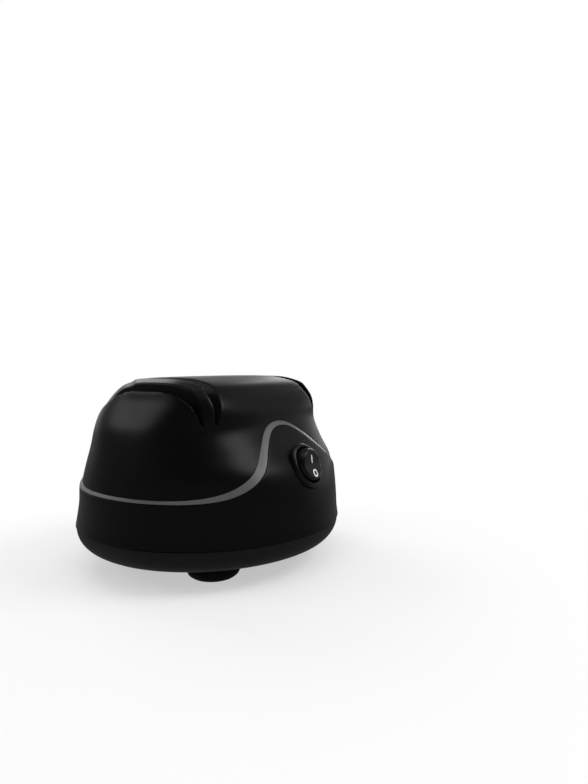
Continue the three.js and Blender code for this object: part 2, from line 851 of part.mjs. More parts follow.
function tubeRoundLimb(inset, outset, low, high, radius) {
  const limb = (grown) => [limbHalf + grown, limbLow - grown, limbHigh + grown];
  const outline = roundedOutline(...limb(outset), radius);
  outline.holes.push(roundedOutline(...limb(inset), bobbinCornerShare * radius, THREE.Path));
  const tube = new THREE.ExtrudeGeometry(outline, {
    depth: high - low,
    bevelEnabled: false,
    curveSegments: bobbinCornerSteps,
  });
  return tube.rotateX(Math.PI / 2).translate(0, high, 0);
}

function coilBobbin() {
  const flange = bobbinWall + windingThickness + 2 * clearance;
  let bobbin = toSolid(tubeRoundLimb(0, bobbinWall, -coilHalfLength, coilHalfLength, bobbinWall));
  for (const side of sides) {
    const [near, far] = [coilHalfLength - bobbinFlange, coilHalfLength];
    const [low, high] = side > 0 ? [near, far] : [-far, -near];
    bobbin = bobbin.add(toSolid(tubeRoundLimb(bobbinWall / 2, flange, low, high, bobbinWall)));
  }
  return toGeometry(bobbin);
}

function coilWinding() {
  const half = coilHalfLength - bobbinFlange - clearance;
  const inset = bobbinWall + clearance;
  return closed(tubeRoundLimb(inset, inset + windingThickness, -half, half, windingThickness / 2));
}

// Bearing bracket: a hat-shaped arm across the bore with the bearing's seat in its crown
function bearingBracket() {
  const footOut = motorScrewY + bracketFootWidth / 2;
  const footIn = motorScrewY - bracketFootWidth / 2;
  const crownHalf = footIn - bracketArmRun;
  const skew = bracketThickness / 2;
  const halfOutline = [
    [footOut, 0],
    [footOut, bracketThickness],
    [footIn + skew, bracketThickness],
    [crownHalf + skew, bracketReach + bracketThickness],
  ];
  const halfInside = [
    [crownHalf - skew, bracketReach],
    [footIn - skew, 0],
  ];
  const mirror = ([y, x]) => [-y, x];
  const outline = [
    ...halfOutline,
    ...halfOutline.map(mirror).reverse(),
    ...halfInside.map(mirror).reverse(),
    ...halfInside,
  ];
  const shape = new THREE.Shape(outline.map(([y, x]) => new THREE.Vector2(x, y)));
  const depth = bracketHeight;
  const hat = new THREE.ExtrudeGeometry(shape, { depth, bevelEnabled: false });
  let bracket = toSolid(hat.translate(0, 0, -bracketHeight / 2));
  const seatStart = bracketReach - bracketThickness / 2;
  const seatRadius = bushRadius + clearance + bushSeatWall;
  const seat = rodAlongX(seatRadius, seatStart, bracketReach + bushLength / 2);
  bracket = bracket.add(toSolid(seat));
  const bore = rodAlongX(bushRadius + clearance, 0, bracketReach + bushLength);
  bracket = bracket.subtract(toSolid(bore));
  for (const side of sides) {
    const holeRadius = screwRadius + clearance;
    const hole = rodAlongX(holeRadius, -overrun, bracketThickness + overrun, smallSteps);
    bracket = bracket.subtract(toSolid(hole.translate(0, side * motorScrewY, 0)));
  }
  return toGeometry(bracket);
}

function bracketScrew() {
  const reach = stackHalfThickness + clearance + bracketThickness;
  const head = reach + clearance;
  return turnedOnShaft([
    [0, -reach - screwHeadHeight],
    [screwRadius, -reach - screwHeadHeight],
    [screwRadius, head],
    [screwHeadRadius, head],
    [screwHeadRadius, head + screwHeadEdgeShare * screwHeadHeight],
    [screwHeadTopShare * screwHeadRadius, head + screwHeadHeight],
    [0, head + screwHeadHeight],
  ], smallSteps);
}

const shaftLine = new THREE.Group();
shaftLine.position.z = shaftHeight;
group.add(shaftLine);
const sideNames = ['left', 'right'];

// Frame at one end of the shaft, with its X pointing away from the motor
function endFrame(side) {
  const frame = new THREE.Group();
  frame.rotation.z = side > 0 ? 0 : Math.PI;
  shaftLine.add(frame);
  return frame;
}

const ends = sides.map(endFrame);
place('motor_stator', statorStack(), lamination());
place('coil_bobbin', coilBobbin(), bobbinNylon());
place('coil_winding', coilWinding(), copper());

const bracketBase = stackHalfThickness + clearance;
const bushBore = shaftRadius + clearance;
const bushLow = bracketBase + bracketReach - bushLength / 2;
const bushHigh = bushLow + bushLength;
const washerLow = bushHigh + clearance;
const washerHigh = washerLow + washerThickness;
ends.forEach((frame, index) => {
  const name = sideNames[index];
  const bracket = place(`bearing_bracket_${name}`, bearingBracket(), zincSteel(), frame);
  bracket.position.x = bracketBase;
  const bush = ringOnShaft(bushBore, bushRadius, bushLow, bushHigh);
  place(`bearing_bush_${name}`, bush, bronze(), frame);
  const washer = ringOnShaft(bushBore, washerRadius, washerLow, washerHigh);
  place(`thrust_washer_${name}`, washer, brightSteel(), frame);
});
['front', 'rear'].forEach((name, index) => {
  const screw = place(`bracket_screw_${name}`, bracketScrew(), zincSteel(), shaftLine);
  screw.position.y = sides[index] * motorScrewY;
});

place('motor_shaft', rodAlongX(shaftRadius, -shaftEnd, shaftEnd), brightSteel(), shaftLine);
const rotorRadius = boreRadius - airGap;
const rotorEnds = [-stackHalfThickness, stackHalfThickness];
const rotorCore = ringOnShaft(bushBore, rotorRadius, ...rotorEnds, discSteps);
place('rotor_core', rotorCore, lamination(), shaftLine);

const hubLow = stageX - discFace - discBossLength - hubCollarLength - clearance;
const collarHigh = hubLow + hubCollarLength;
const hubHigh = stageX + hubOverhang;

// Cooling fan: straight blades on a back disc and a hub
function coolingFan() {
  const low = washerHigh + clearance;
  const high = low + fanShare * (hubLow - low);
  let fan = toSolid(ringOnShaft(bushBore, fanHubRadius, low, high));
  const disc = ringOnShaft(fanHubRadius - fanDisc, fanRadius, high - fanDisc, high, discSteps);
  fan = fan.add(toSolid(disc));
  for (let blade = 0; blade < bladeCount; blade += 1) {
    const vane = block(
      low, high - fanDisc / 2,
      fanHubRadius - fanDisc, fanRadius - fanDisc,
      -bladeThickness / 2, bladeThickness / 2,
    );
    fan = fan.add(toSolid(vane.rotateX((2 * Math.PI * blade) / bladeCount)));
  }
  return toGeometry(fan);
}

place('cooling_fan', coolingFan(), fanNylon(), ends[1]);

// Drive hub: a collar against which the inner disc seats, and the sleeve that carries both discs
function driveHub() {
  return turnedOnShaft([
    [bushBore, hubLow],
    [hubCollarRadius, hubLow],
    [hubCollarRadius, collarHigh],
    [hubRadius, collarHigh],
    [hubRadius, hubHigh],
    [bushBore, hubHigh],
    [bushBore, hubLow],
  ]);
}

// Grinding disc with its flat face on the slot's side and a short boss on that side
function grindingDisc(lean) {
  const bore = hubRadius + clearance;
  const along = (from) => stageX + lean * from;
  const inside = discFace - discThickness;
  const profile = [
    [bore, along(inside)],
    [discRadius, along(inside)],
    [discRadius, along(discFace)],
    [discBossRadius, along(discFace)],
    [discBossRadius, along(discFace + discBossLength)],
    [bore, along(discFace + discBossLength)],
    [bore, along(inside)],
  ];
  return turnedOnShaft(lean > 0 ? profile : profile.reverse(), discSteps);
}

// Wave spring that presses the two discs apart
function waveSpring() {
  const room = discFace - discThickness - clearance;
  const strip = room / 2;
  const swing = room - strip;
  const bore = hubRadius + clearance;
  const radius = discBossRadius;
  const profiles = anglesAround(springSteps).map((angle) => {
    const middle = swing * Math.cos(waveCount * angle);
    const at = (reach, height) =>
      new THREE.Vector3(reach * Math.cos(angle), reach * Math.sin(angle), height);
    return [
      at(radius, middle + strip),
      at(radius, middle - strip),
      at(bore, middle - strip),
      at(bore, middle + strip),
    ];
  });
  return skin(profiles, true).rotateY(Math.PI / 2);
}

// Hexagon nut with a bored centre
function shaftNut() {
  const outline = new THREE.Shape();
  const reach = nutHalfWidth / Math.cos(Math.PI / nutSides);
  for (let corner = 0; corner <= nutSides; corner += 1) {
    const angle = (2 * Math.PI * corner) / nutSides;
    const [x, y] = [reach * Math.cos(angle), reach * Math.sin(angle)];
    if (corner === 0) outline.moveTo(x, y);
    else outline.lineTo(x, y);
  }
  outline.holes.push(circlePath(0, 0, bushBore));
  const options = { depth: nutLength, bevelEnabled: false, curveSegments: nutBoreSteps };
  return closed(alongX(new THREE.ExtrudeGeometry(outline, options)));
}

const grades = ['coarse', 'fine'];
ends.forEach((frame, index) => {
  const name = sideNames[index];
  const grit = [coarseGrit, fineGrit][index];
  place(`drive_hub_${name}`, driveHub(), zincSteel(), frame);
  place(`${grades[index]}_disc_inner`, grindingDisc(-1), grit(), frame);
  place(`${grades[index]}_disc_outer`, grindingDisc(1), grit(), frame);
  const spring = place(`wave_spring_${name}`, waveSpring(), brightSteel(), frame);
  spring.position.x = stageX;
  const nut = place(`shaft_nut_${name}`, shaftNut(), zincSteel(), frame);
  nut.position.x = hubHigh + clearance;
});

export default group;
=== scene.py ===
# Electric knife sharpener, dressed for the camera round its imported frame.
# The forms are worked out in millimetres in the part's own frame, +Z up, -Y the switch side and
# X along the motor shaft, and every mesh is made in metres.

import math

import bmesh
import bpy
import numpy as np
from mathutils import Matrix, Vector


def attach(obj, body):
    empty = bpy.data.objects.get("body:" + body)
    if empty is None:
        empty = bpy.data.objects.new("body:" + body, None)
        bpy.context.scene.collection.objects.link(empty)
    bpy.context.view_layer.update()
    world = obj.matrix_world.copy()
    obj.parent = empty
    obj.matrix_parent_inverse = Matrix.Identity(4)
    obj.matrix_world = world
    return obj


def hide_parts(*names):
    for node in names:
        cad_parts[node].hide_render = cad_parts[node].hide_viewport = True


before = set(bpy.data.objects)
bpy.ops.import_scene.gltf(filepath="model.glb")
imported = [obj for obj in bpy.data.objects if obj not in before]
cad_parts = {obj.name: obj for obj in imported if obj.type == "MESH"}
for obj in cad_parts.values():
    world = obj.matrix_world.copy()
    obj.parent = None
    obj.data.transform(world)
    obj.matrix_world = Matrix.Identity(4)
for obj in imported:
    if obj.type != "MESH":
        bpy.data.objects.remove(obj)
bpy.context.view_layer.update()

MM = 0.001
TURN = 2 * math.pi
HALVINGS = 36
CUT_SPARE = 4.0
HOLE_STEPS = 32
SLEEVE_STEPS = 48
ROUND_STEPS = 64
TURNED_STEPS = 96
WIDE_STEPS = 128
DISC_STEPS = 160

# Case, as the frame has it
HALF_LENGTH = 73.8
HALF_DEPTH = 69.8
SEAM = 21.0
CROWN = 99.9
WALL = 2.4
PROUD = 1.2
GAP = 0.3

# From the seam to the crown: height, half length, half depth in front and at the rear as shares,
# and the exponents of the plan's curve in front and at the rear
CASE_ROWS = np.array([
    [0, 1, 1, 1, 1.96, 2.1],
    [0.063, 0.989, 0.984, 0.982, 2, 2.12],
    [0.165, 0.977, 0.967, 0.958, 2.08, 2.14],
    [0.292, 0.965, 0.934, 0.925, 2.21, 2.26],
    [0.418, 0.943, 0.867, 0.875, 2.51, 2.32],
    [0.545, 0.92, 0.748, 0.81, 2.73, 2.39],
    [0.672, 0.891, 0.644, 0.735, 3.21, 2.63],
    [0.773, 0.848, 0.612, 0.655, 4.16, 2.94],
    [0.849, 0.814, 0.565, 0.572, 5.57, 3.05],
    [0.906, 0.798, 0.512, 0.493, 6, 2.95],
    [0.944, 0.792, 0.462, 0.422, 6, 2.68],
    [0.968, 0.753, 0.385, 0.361, 6, 2.34],
    [0.986, 0.72, 0.28, 0.302, 5.93, 2.33],
    [0.996, 0.515, 0.2, 0.136, 3, 2.6],
    [1, 0, 0, 0, 2, 2],
])
CROWN_FALL = (0.5, 0.9)
LAST_ROW = 0.98

# Wave line between the halves of the case, and the trim band on it
WAVE_LOW = 42.6
WAVE_RISE = 32.4
WAVE_REACH = 34.6
WAVE_SHARPNESS = 2.3
BAND_WIDTH = 1.4
BAND_CREST_GROWTH = 1.1
BAND_FLANK_GROWTH = 3.0

# Base cover and feet
BASE_TUCK = 14.0
BASE_FLOOR = SEAM - 13.0
BASE_INSIDE = BASE_FLOOR + WALL
SEAM_INSET = 0.5
LIP_HEIGHT = 3.0
LIP_THICKNESS = 1.6
FOOT_PLACE = (33.0, 27.0)
FOOT_RADIUS = 13.8
FOOT_PEG = 5.0
FOOT_BEAD = 6.2
FOOT_CUP = 2.2
FOOT_RIM = 0.62 * FOOT_RADIUS
FOOT_ROUND = 0.8
VENT_COUNT = 7
VENT_PITCH = 7.5
VENT_WIDTH = 2.6
VENT_LENGTH = 26.0
VENT_ARC = 9

# Screws and bosses
BOSS_PLACE = (18.5, 41.0)
BOSS_RADIUS = 4.0
BOSS_FOOT = 24.0
SCREW_RADIUS = 1.8
SCREW_HEAD = 3.6
SCREW_LEVEL = 15.0
SCREW_BITE = 15.0
SLEEVE_WALL = 1.7
MOTOR_SCREW_Y = 21.3
SADDLE = (7.0, 5.0)
STACK_FOOT = 22.0

# Grinding stages
STAGE = 49.2
SLOT_FLOOR = 77.0
SLOT_LEAN = math.tan(math.radians(20))
FLOOR_HALF = 3.5
RIB_HALF = 2.7
TROUGH_WALL = 2.2
TROUGH_FLOOR = 3.0
SHAFT_HEIGHT = 62.0
DISC_POCKET = 23.2
POCKET_HALF = 2.8

# Switch and cord inlet
SWITCH_HEIGHT = 53.5
BEZEL_RADIUS = 12.2
BEZEL_PROUD = 1.9
BEZEL_SLOPE = 0.9
BEZEL_ROUND = 0.6
WELL_SLOPE = 0.7
SEAT_DEPTH = 1.4
SEAT_PAD = 5.0
SEAT_UPRIGHT = math.radians(7)
BARREL_RADIUS = 10.4
BARREL_LENGTH = 13.0
ROCKER_RADIUS = 9.1
ROCKER_CLEARANCE = 0.5
ROCKER_THROW = math.radians(20)
ROCKER_CROWN = 3.8
ROCKER_KEEL = 3.6
ROCKER_WELL = 7.0
TERMINAL = (6.3, 0.8)
TERMINAL_SOCKET = 4.0
TERMINAL_LENGTH = 9.0
TERMINAL_OFFSET = 4.6
TERMINAL_HOLE = 0.4 * TERMINAL[0]
INLET_HEIGHT = 36.0
INLET_BORE = 3.7
INLET_NECK = 6.0
INLET_FLANGE_RADIUS = 8.4
INLET_FLANGE = 1.7
INLET_RECESS = 1.6

# Camera, from the photograph's frame of 588 x 784
CAMERA_PLACE = Vector((-265.9, -217.4, 106.0)) * MM
CAMERA_AIM = Vector((0.8526, 0.5225, 0.0))
CAMERA_LENS = 27.09
CAMERA_SENSOR = 36.0
CAMERA_SHIFT = -0.0344
CAMERA_NEAR = 0.01


def add_camera():
    data = bpy.data.cameras.new("camera")
    data.lens = CAMERA_LENS
    data.sensor_width = CAMERA_SENSOR
    data.shift_y = CAMERA_SHIFT
    data.clip_start = CAMERA_NEAR
    camera = bpy.data.objects.new("camera", data)
    camera.location = CAMERA_PLACE
    camera.rotation_euler = CAMERA_AIM.to_track_quat("-Z", "Y").to_euler()
    bpy.context.scene.collection.objects.link(camera)
    bpy.context.scene.camera = camera


add_camera()


# Node building


def put(tree, value, socket):
    """Join a socket to what another node gives, or set its own value."""
    if isinstance(value, bpy.types.NodeSocket):
        tree.links.new(value, socket)
    else:
        socket.default_value = value


def add_node(tree, kind, mode=(), **values):
    """Node of a kind, with one setting and its choice as its mode, and its sockets by name."""
    node = tree.nodes.new(kind)
    if mode:
        setattr(node, *mode)
    for name, value in values.items():
        put(tree, value, node.inputs[name.replace("_", " ")])
    return node


class Finish:
    """A material, with short calls that add its nodes and fill its shader."""

    def __init__(self, name):
        self.material = bpy.data.materials.new(name)
        self.material.use_nodes = True
        self.tree = self.material.node_tree
        self.shader = self.tree.nodes["Principled BSDF"]
        self.place = self.add("ShaderNodeTexCoord").outputs["Object"]

    def add(self, kind, mode=(), **values):
        return add_node(self.tree, kind, mode, **values)

    def use(self, group, **values):
        """Outputs of an effect, placed with its own values and the object's coordinates."""
        return self.add("ShaderNodeGroup", ("node_tree", group), Place=self.place, **values).outputs

    def set(self, **values):
        for name, value in values.items():
            put(self.tree, value, self.shader.inputs[name.replace("_", " ")])


def new_group(name, inputs, outputs):
    """Shader group with named sockets, each given as its name, kind and, for an input, value."""
    tree = bpy.data.node_groups.new(name, "ShaderNodeTree")
    tree.interface.new_socket("Place", in_out="INPUT", socket_type="NodeSocketVector")
    for socket, kind, value in inputs:
        made = tree.interface.new_socket(socket, in_out="INPUT", socket_type=kind)
        made.default_value = value
    for socket, kind in outputs:
        tree.interface.new_socket(socket, in_out="OUTPUT", socket_type=kind)
    start = tree.nodes.new("NodeGroupInput")
    end = tree.nodes.new("NodeGroupOutput")
    return tree, start.outputs, end.inputs


FLOAT = "NodeSocketFloat"
COLOUR = "NodeSocketColor"
NORMAL = "NodeSocketVector"


def noise(tree, place, scale, detail=2.0, roughness=0.5):
    values = {"Vector": place, "Scale": scale, "Detail": detail, "Roughness": roughness}
    return add_node(tree, "ShaderNodeTexNoise", **values).outputs["Fac"]


def arithmetic(tree, operation, *values, kind="ShaderNodeMath"):
    node = add_node(tree, kind, ("operation", operation))
    for value, socket in zip(values, node.inputs):
        put(tree, value, socket)
    return node.outputs["Value"]


def blend(tree, share, first, second, kind="FLOAT"):
    """Mix of two numbers or, as RGBA, of two colours."""
    node = add_node(tree, "ShaderNodeMix", ("data_type", kind), Factor=share, A=first, B=second)
    return node.outputs["Result"]


def ramp(tree, value, given, wanted):
    """Value taken smoothly from one range to another."""
    node = add_node(
        tree, "ShaderNodeMapRange", ("interpolation_type", "SMOOTHSTEP"), Value=value,
        From_Min=given[0], From_Max=given[1], To_Min=wanted[0], To_Max=wanted[1],
    )
    return node.outputs["Result"]


def moulded_grain():
    """Spark-eroded grain of a moulded surface, with patches a little glossier than others."""
    tree, given, out = new_group(
        "moulded_grain",
        [
            ("Grain", FLOAT, 2600.0),
            ("Depth", FLOAT, 0.00002),
            ("Roughness", FLOAT, 0.4),
            ("Spread", FLOAT, 0.08),
        ],
        [("Roughness", FLOAT), ("Normal", NORMAL)],
    )
    place = given["Place"]
    fine = noise(tree, place, given["Grain"], detail=1.0)
    bump = add_node(tree, "ShaderNodeBump", Height=fine, Distance=given["Depth"])
    patches = noise(tree, place, scale=55.0, detail=4.0, roughness=0.6)
    patches = arithmetic(tree, "SUBTRACT", patches, 0.5)
    spread = arithmetic(tree, "MULTIPLY", patches, given["Spread"])
    grain = arithmetic(tree, "SUBTRACT", fine, 0.5)
    grain = arithmetic(tree, "MULTIPLY", grain, given["Spread"])
    total = arithmetic(tree, "ADD", given["Roughness"], arithmetic(tree, "ADD", spread, grain))
    put(tree, total, out["Roughness"])
    put(tree, bump.outputs["Normal"], out["Normal"])
    return tree


SPECK_SHARPNESS = 6.0
DUST_TONE = (0.35, 0.34, 0.33, 1)


def tone_drift():
    """Slow drift between two near tones, with a trace of dust on what faces up."""
    tree, given, out = new_group(
        "tone_drift",
        [
            ("Tone", COLOUR, (0.01, 0.01, 0.01, 1)),
            ("Other", COLOUR, (0.02, 0.02, 0.02, 1)),
            ("Dust", FLOAT, 0.02),
        ],
        [("Colour", COLOUR)],
    )
    place = given["Place"]
    drift = noise(tree, place, scale=38.0, detail=5.0, roughness=0.62)
    tone = blend(tree, drift, given["Tone"], given["Other"], "RGBA")
    specks = arithmetic(tree, "POWER", noise(tree, place, scale=1900.0), SPECK_SHARPNESS)
    specks = arithmetic(tree, "MULTIPLY", specks, given["Dust"])
    normal = tree.nodes.new("ShaderNodeNewGeometry").outputs["Normal"]
    facing = add_node(tree, "ShaderNodeSeparateXYZ", Vector=normal)
    upward = arithmetic(tree, "MAXIMUM", facing.outputs["Z"], 0.0)
    dusty = arithmetic(tree, "MULTIPLY", specks, upward)
    put(tree, blend(tree, dusty, tone, DUST_TONE, "RGBA"), out["Colour"])
    return tree


GRAIN = moulded_grain()
DRIFT = tone_drift()
FINE_DEPTH = 0.00001
GRIT_DEPTH = 0.00012
PLAIN_SHINE = 0.5
BLACK_SHINE = 0.14
DRAWN_ALONG_X = (0.03, 1, 1)
DRAWN_ALONG_Y = (1, 0.04, 1)
DRAWN_ALONG_Z = (1, 1, 0.03)
STACKED_ALONG_X = (6, 0.05, 0.05)


def grey(level, warmth=0.0):
    return (level * (1 + warmth), level, level * (1 - warmth), 1)


def plastic(name, tone, other, roughness, shine=PLAIN_SHINE, metallic=0.0,
            grain=2600.0, depth=0.00002, spread=0.08, dust=0.02):
    """Moulded plastic or rubber: two near tones, grain and a trace of dust."""
    finish = Finish(name)
    drift = finish.use(DRIFT, Tone=tone, Other=other, Dust=dust)
    surface = finish.use(GRAIN, Grain=grain, Depth=depth, Roughness=roughness, Spread=spread)
    finish.set(Base_Color=drift["Colour"], Metallic=metallic, Specular_IOR_Level=shine)
    finish.set(Roughness=surface["Roughness"], Normal=surface["Normal"])
    return finish.material


def housing_black():
    return plastic(
        "housing_black", grey(0.0022, -0.06), grey(0.0034, -0.05), roughness=0.36, shine=BLACK_SHINE
    )


def base_black():
    shine = 1.3 * BLACK_SHINE
    return plastic("base_black", grey(0.006, -0.03), grey(0.0085, -0.03), 0.48, shine)


def band_grey():
    return plastic(
        "band_grey", grey(0.1), grey(0.118), roughness=0.42,
        metallic=0.2, grain=5200.0, depth=FINE_DEPTH, dust=0.0,
    )


def rubber_black():
    return plastic(
        "rubber_black", grey(0.003), grey(0.006), roughness=0.72,
        shine=BLACK_SHINE, grain=1500.0, depth=0.00004, dust=0.12,
    )


def switch_black():
    return plastic(
        "switch_black", grey(0.003), grey(0.004), roughness=0.32,
        shine=2 * BLACK_SHINE, grain=3400.0, spread=0.05,
    )


def mark_white():
    return plastic("mark_white", grey(0.75), grey(0.68), 0.5, grain=4200.0, depth=FINE_DEPTH)


def brushed(name, tone, other, roughness, metallic, along):
    """Metal with fine drawn lines along one axis."""
    finish = Finish(name)
    stretch = finish.add("ShaderNodeMapping", Vector=finish.place, Scale=along)
    lines = noise(finish.tree, stretch.outputs["Vector"], scale=900.0, detail=3.0, roughness=0.6)
    surface = finish.use(GRAIN, Grain=3000.0, Depth=FINE_DEPTH, Roughness=roughness, Spread=0.12)
    finish.set(Base_Color=blend(finish.tree, lines, tone, other, "RGBA"), Metallic=metallic)
    finish.set(Roughness=surface["Roughness"], Normal=surface["Normal"])
    return finish.material


def abrasive(name, tone, other, grain):
    """Bonded grit: coarse cells of two tones with a broken surface."""
    finish = Finish(name)
    cells = finish.add("ShaderNodeTexVoronoi", Vector=finish.place, Scale=grain).outputs
    share = finish.add("ShaderNodeSeparateColor", Color=cells["Color"]).outputs["Red"]
    bump = finish.add("ShaderNodeBump", Height=cells["Distance"], Distance=GRIT_DEPTH)
    surface = finish.use(GRAIN, Grain=2 * grain, Depth=FINE_DEPTH, Roughness=0.9, Spread=0.15)
    finish.set(Base_Color=blend(finish.tree, share, tone, other, "RGBA"))
    finish.set(Roughness=surface["Roughness"], Normal=bump.outputs["Normal"])
    return finish.material


HOUSING = housing_black()
BASE = base_black()
BAND = band_grey()
RUBBER = rubber_black()
SWITCH = switch_black()
MARK = mark_white()
ZINC = brushed("zinc_steel", grey(0.42), grey(0.55), 0.38, 1, DRAWN_ALONG_Z)
BRIGHT = brushed("bright_steel", grey(0.55), grey(0.66), 0.24, 1, DRAWN_ALONG_X)
LAMINATION = brushed("lamination_steel", grey(0.14), grey(0.24), 0.5, 0.9, STACKED_ALONG_X)
COPPER = brushed(
    "copper_wire", (0.45, 0.12, 0.03, 1), (0.62, 0.2, 0.06, 1), 0.3, 0.9, DRAWN_ALONG_Y
)
BRONZE = brushed("bronze", (0.32, 0.2, 0.07, 1), (0.42, 0.27, 0.1, 1), 0.45, 0.9, DRAWN_ALONG_X)
NYLON = plastic("bobbin_nylon", grey(0.62, 0.05), grey(0.7, 0.05), roughness=0.5)
FAN = plastic("fan_nylon", grey(0.03), grey(0.045), roughness=0.5)
COARSE = abrasive("coarse_abrasive", (0.1, 0.07, 0.045, 1), (0.16, 0.11, 0.08, 1), 1800.0)
FINE = abrasive("fine_abrasive", grey(0.42, 0.05), grey(0.52, 0.04), 3600.0)


# Form of the case


def case_row(row):
    """Values of the case at a share of the way from the seam to the crown."""
    last = len(CASE_ROWS) - 1
    place = np.clip(np.asarray(row, float), 0, 1) * last
    index = np.minimum(place.astype(int), last - 1)
    t = (place - index)[..., None]
    before = CASE_ROWS[np.maximum(index - 1, 0)]
    start = CASE_ROWS[index]
    end = CASE_ROWS[index + 1]
    after = CASE_ROWS[np.minimum(index + 2, last)]
    leave = (end - before) / 2
    arrive = (after - start) / 2
    bend = 2 * start - 2 * end + leave + arrive
    curve = -3 * start + 3 * end - 2 * leave - arrive
    return ((bend * t + curve) * t + leave) * t + start


def smoothstep(value, low, high):
    t = np.clip((value - low) / (high - low), 0, 1)
    return t * t * (3 - 2 * t)


def plan_size(row, rear, offset):
    """Half length, half depth and exponent of the plan at a row, in front or at the rear."""
    values = case_row(row)
    half_length = np.maximum(values[..., 1] * HALF_LENGTH + offset, GAP)
    depth = np.where(rear, values[..., 3], values[..., 2])
    half_depth = np.maximum(depth * HALF_DEPTH + offset, GAP)
    power = np.where(rear, values[..., 5], values[..., 4])
    return half_length, half_depth, power


def past_plan(row, x, y, rear):
    """How far places lie past the plan at a row: 0 on its curve and -1 in its middle."""
    half_length, half_depth, power = plan_size(row, rear, 0.0)
    return np.abs(x / half_length) ** power + np.abs(y / half_depth) ** power - 1


def row_height(row, fall):
    drop = fall * smoothstep(np.asarray(row, float), *CROWN_FALL)
    return SEAM + case_row(row)[..., 0] * (CROWN - SEAM) - drop


def ring_points(radius, angle, height):
    """Points round Z, with the radius and height one number or one for each angle."""
    x, y, z = np.broadcast_arrays(radius * np.cos(angle), radius * np.sin(angle), height)
    return np.stack([x, y, z], axis=-1)


def case_point(angle, row, offset=0.0, fall=0.0):
    """Points of the case at angles round Z, moved out in plan and down at the crown."""
    angle, row = np.broadcast_arrays(np.asarray(angle, float), np.asarray(row, float))
    half_length, half_depth, power = plan_size(row, np.sin(angle) >= 0, offset)
    across = np.abs(np.cos(angle) / half_length) ** power
    through = np.abs(np.sin(angle) / half_depth) ** power
    return ring_points((across + through) ** (-1 / power), angle, row_height(row, fall))


def solve(value, low, high, shape=()):
    """Place at which a rising function passes zero, for a whole array at once."""
    low = np.full(shape, float(low))
    high = np.full(shape, float(high))
    for _ in range(HALVINGS):
        middle = (low + high) / 2
        under = value(middle) < 0
        low = np.where(under, middle, low)
        high = np.where(under, high, middle)
    return (low + high) / 2


def row_at(x, y):
    """Row of the case whose plan curve passes through each place."""
    return solve(lambda row: past_plan(row, x, y, y >= 0), 0, 1, x.shape)


def case_height(x, y):
    return row_height(row_at(x, y), 0.0)


def row_at_height(height, fall=0.0):
    return float(solve(lambda row: row_height(row, fall) - height, 0, LAST_ROW))


def band_edge(side):
    """Low level, rise and reach of one edge of the band, side 1 the upper and -1 the lower."""
    return (
        WAVE_LOW + side * BAND_WIDTH / 2,
        WAVE_RISE + side * BAND_CREST_GROWTH / 2,
        WAVE_REACH + side * BAND_FLANK_GROWTH / 2,
    )


BAND_TOP = band_edge(1)
BAND_FOOT = band_edge(-1)


def wave_height(x, edge):
    low, rise, reach = edge
    return low + rise * np.exp(-((np.abs(x) / reach) ** WAVE_SHARPNESS))


def edge_row(angle, offset, edge, shift):
    """Rows at which the case meets an edge of the band, moved up by shift."""
    angle = np.asarray(angle, float)

    def above(row):
        point = case_point(angle, row, offset)
        return point[..., 2] - wave_height(point[..., 0], edge) - shift

    return solve(above, 0, LAST_ROW, angle.shape)


def angles_round(steps):
    return np.arange(steps) * TURN / steps


# Mesh building

NEAR_HALF = 0.45


def scratch(name, points, faces):
    """Object with a mesh of points in millimetres, linked to the scene."""
    mesh = bpy.data.meshes.new(name)
    mesh.from_pydata([tuple(point * MM) for point in np.asarray(points, float)], [], faces)
    mesh.validate()
    made = bpy.data.objects.new(name, mesh)
    bpy.context.scene.collection.objects.link(made)
    return made


def weld(piece, reach=0.00001):
    """Merge points that lie together and face everything outwards."""
    mesh = bmesh.new()
    mesh.from_mesh(piece.data)
    bmesh.ops.remove_doubles(mesh, verts=mesh.verts, dist=reach)
    bmesh.ops.dissolve_degenerate(mesh, edges=mesh.edges, dist=reach)
    bmesh.ops.recalc_face_normals(mesh, faces=mesh.faces)
    mesh.to_mesh(piece.data)
    mesh.free()
    return piece


def combine(piece, tools, operation="DIFFERENCE"):
    """Cut, join or keep what is shared with scratch objects, which are then removed."""
    for tool in tools:
        modifier = piece.modifiers.new("combine", "BOOLEAN")
        modifier.operation = operation
        modifier.solver = "MANIFOLD"
        modifier.object = tool
        apply_modifiers(piece)
        bpy.data.objects.remove(tool, do_unlink=True)
    return piece


def apply_modifiers(piece):
    view = bpy.context.evaluated_depsgraph_get()
    made = bpy.data.meshes.new_from_object(piece.evaluated_get(view))
    old = piece.data
    piece.modifiers.clear()
    piece.data = made
    bpy.data.meshes.remove(old)


def grid_faces(rows, columns, wrap=False):
    """Quads over rows x columns of points, the columns closing on themselves if they wrap."""
    index = np.arange(rows * columns).reshape(rows, columns)
    after = np.roll(index, -1, axis=1)
    spans = columns if wrap else columns - 1
    quads = np.stack(
        [index[:-1, :spans], index[1:, :spans], after[1:, :spans], after[:-1, :spans]], axis=-1
    )
    return [tuple(int(i) for i in quad) for quad in quads.reshape(-1, 4)]


def ring_mesh(name, profiles, closed=True):
    """Mesh over profiles that stand round Z, as an array [profile point, place round, xyz]."""
    if closed:
        profiles = np.concatenate([profiles, profiles[:1]])
    count, around, _ = profiles.shape
    faces = grid_faces(count, around, wrap=True)
    if not closed:
        faces.append(tuple(range(around)))
        faces.append(tuple(range((count - 1) * around, count * around)))
    return weld(scratch(name, profiles.reshape(-1, 3), faces))


def turned(name, profile, steps=TURNED_STEPS):
    """Profile of [radius, height] revolved about Z. It starts and ends on the axis or closes."""
    profile = np.array(profile, float)
    rings = ring_points(profile[:, :1], angles_round(steps), profile[:, 1:])
    return ring_mesh(name, rings, closed=profile[0, 0] != 0)


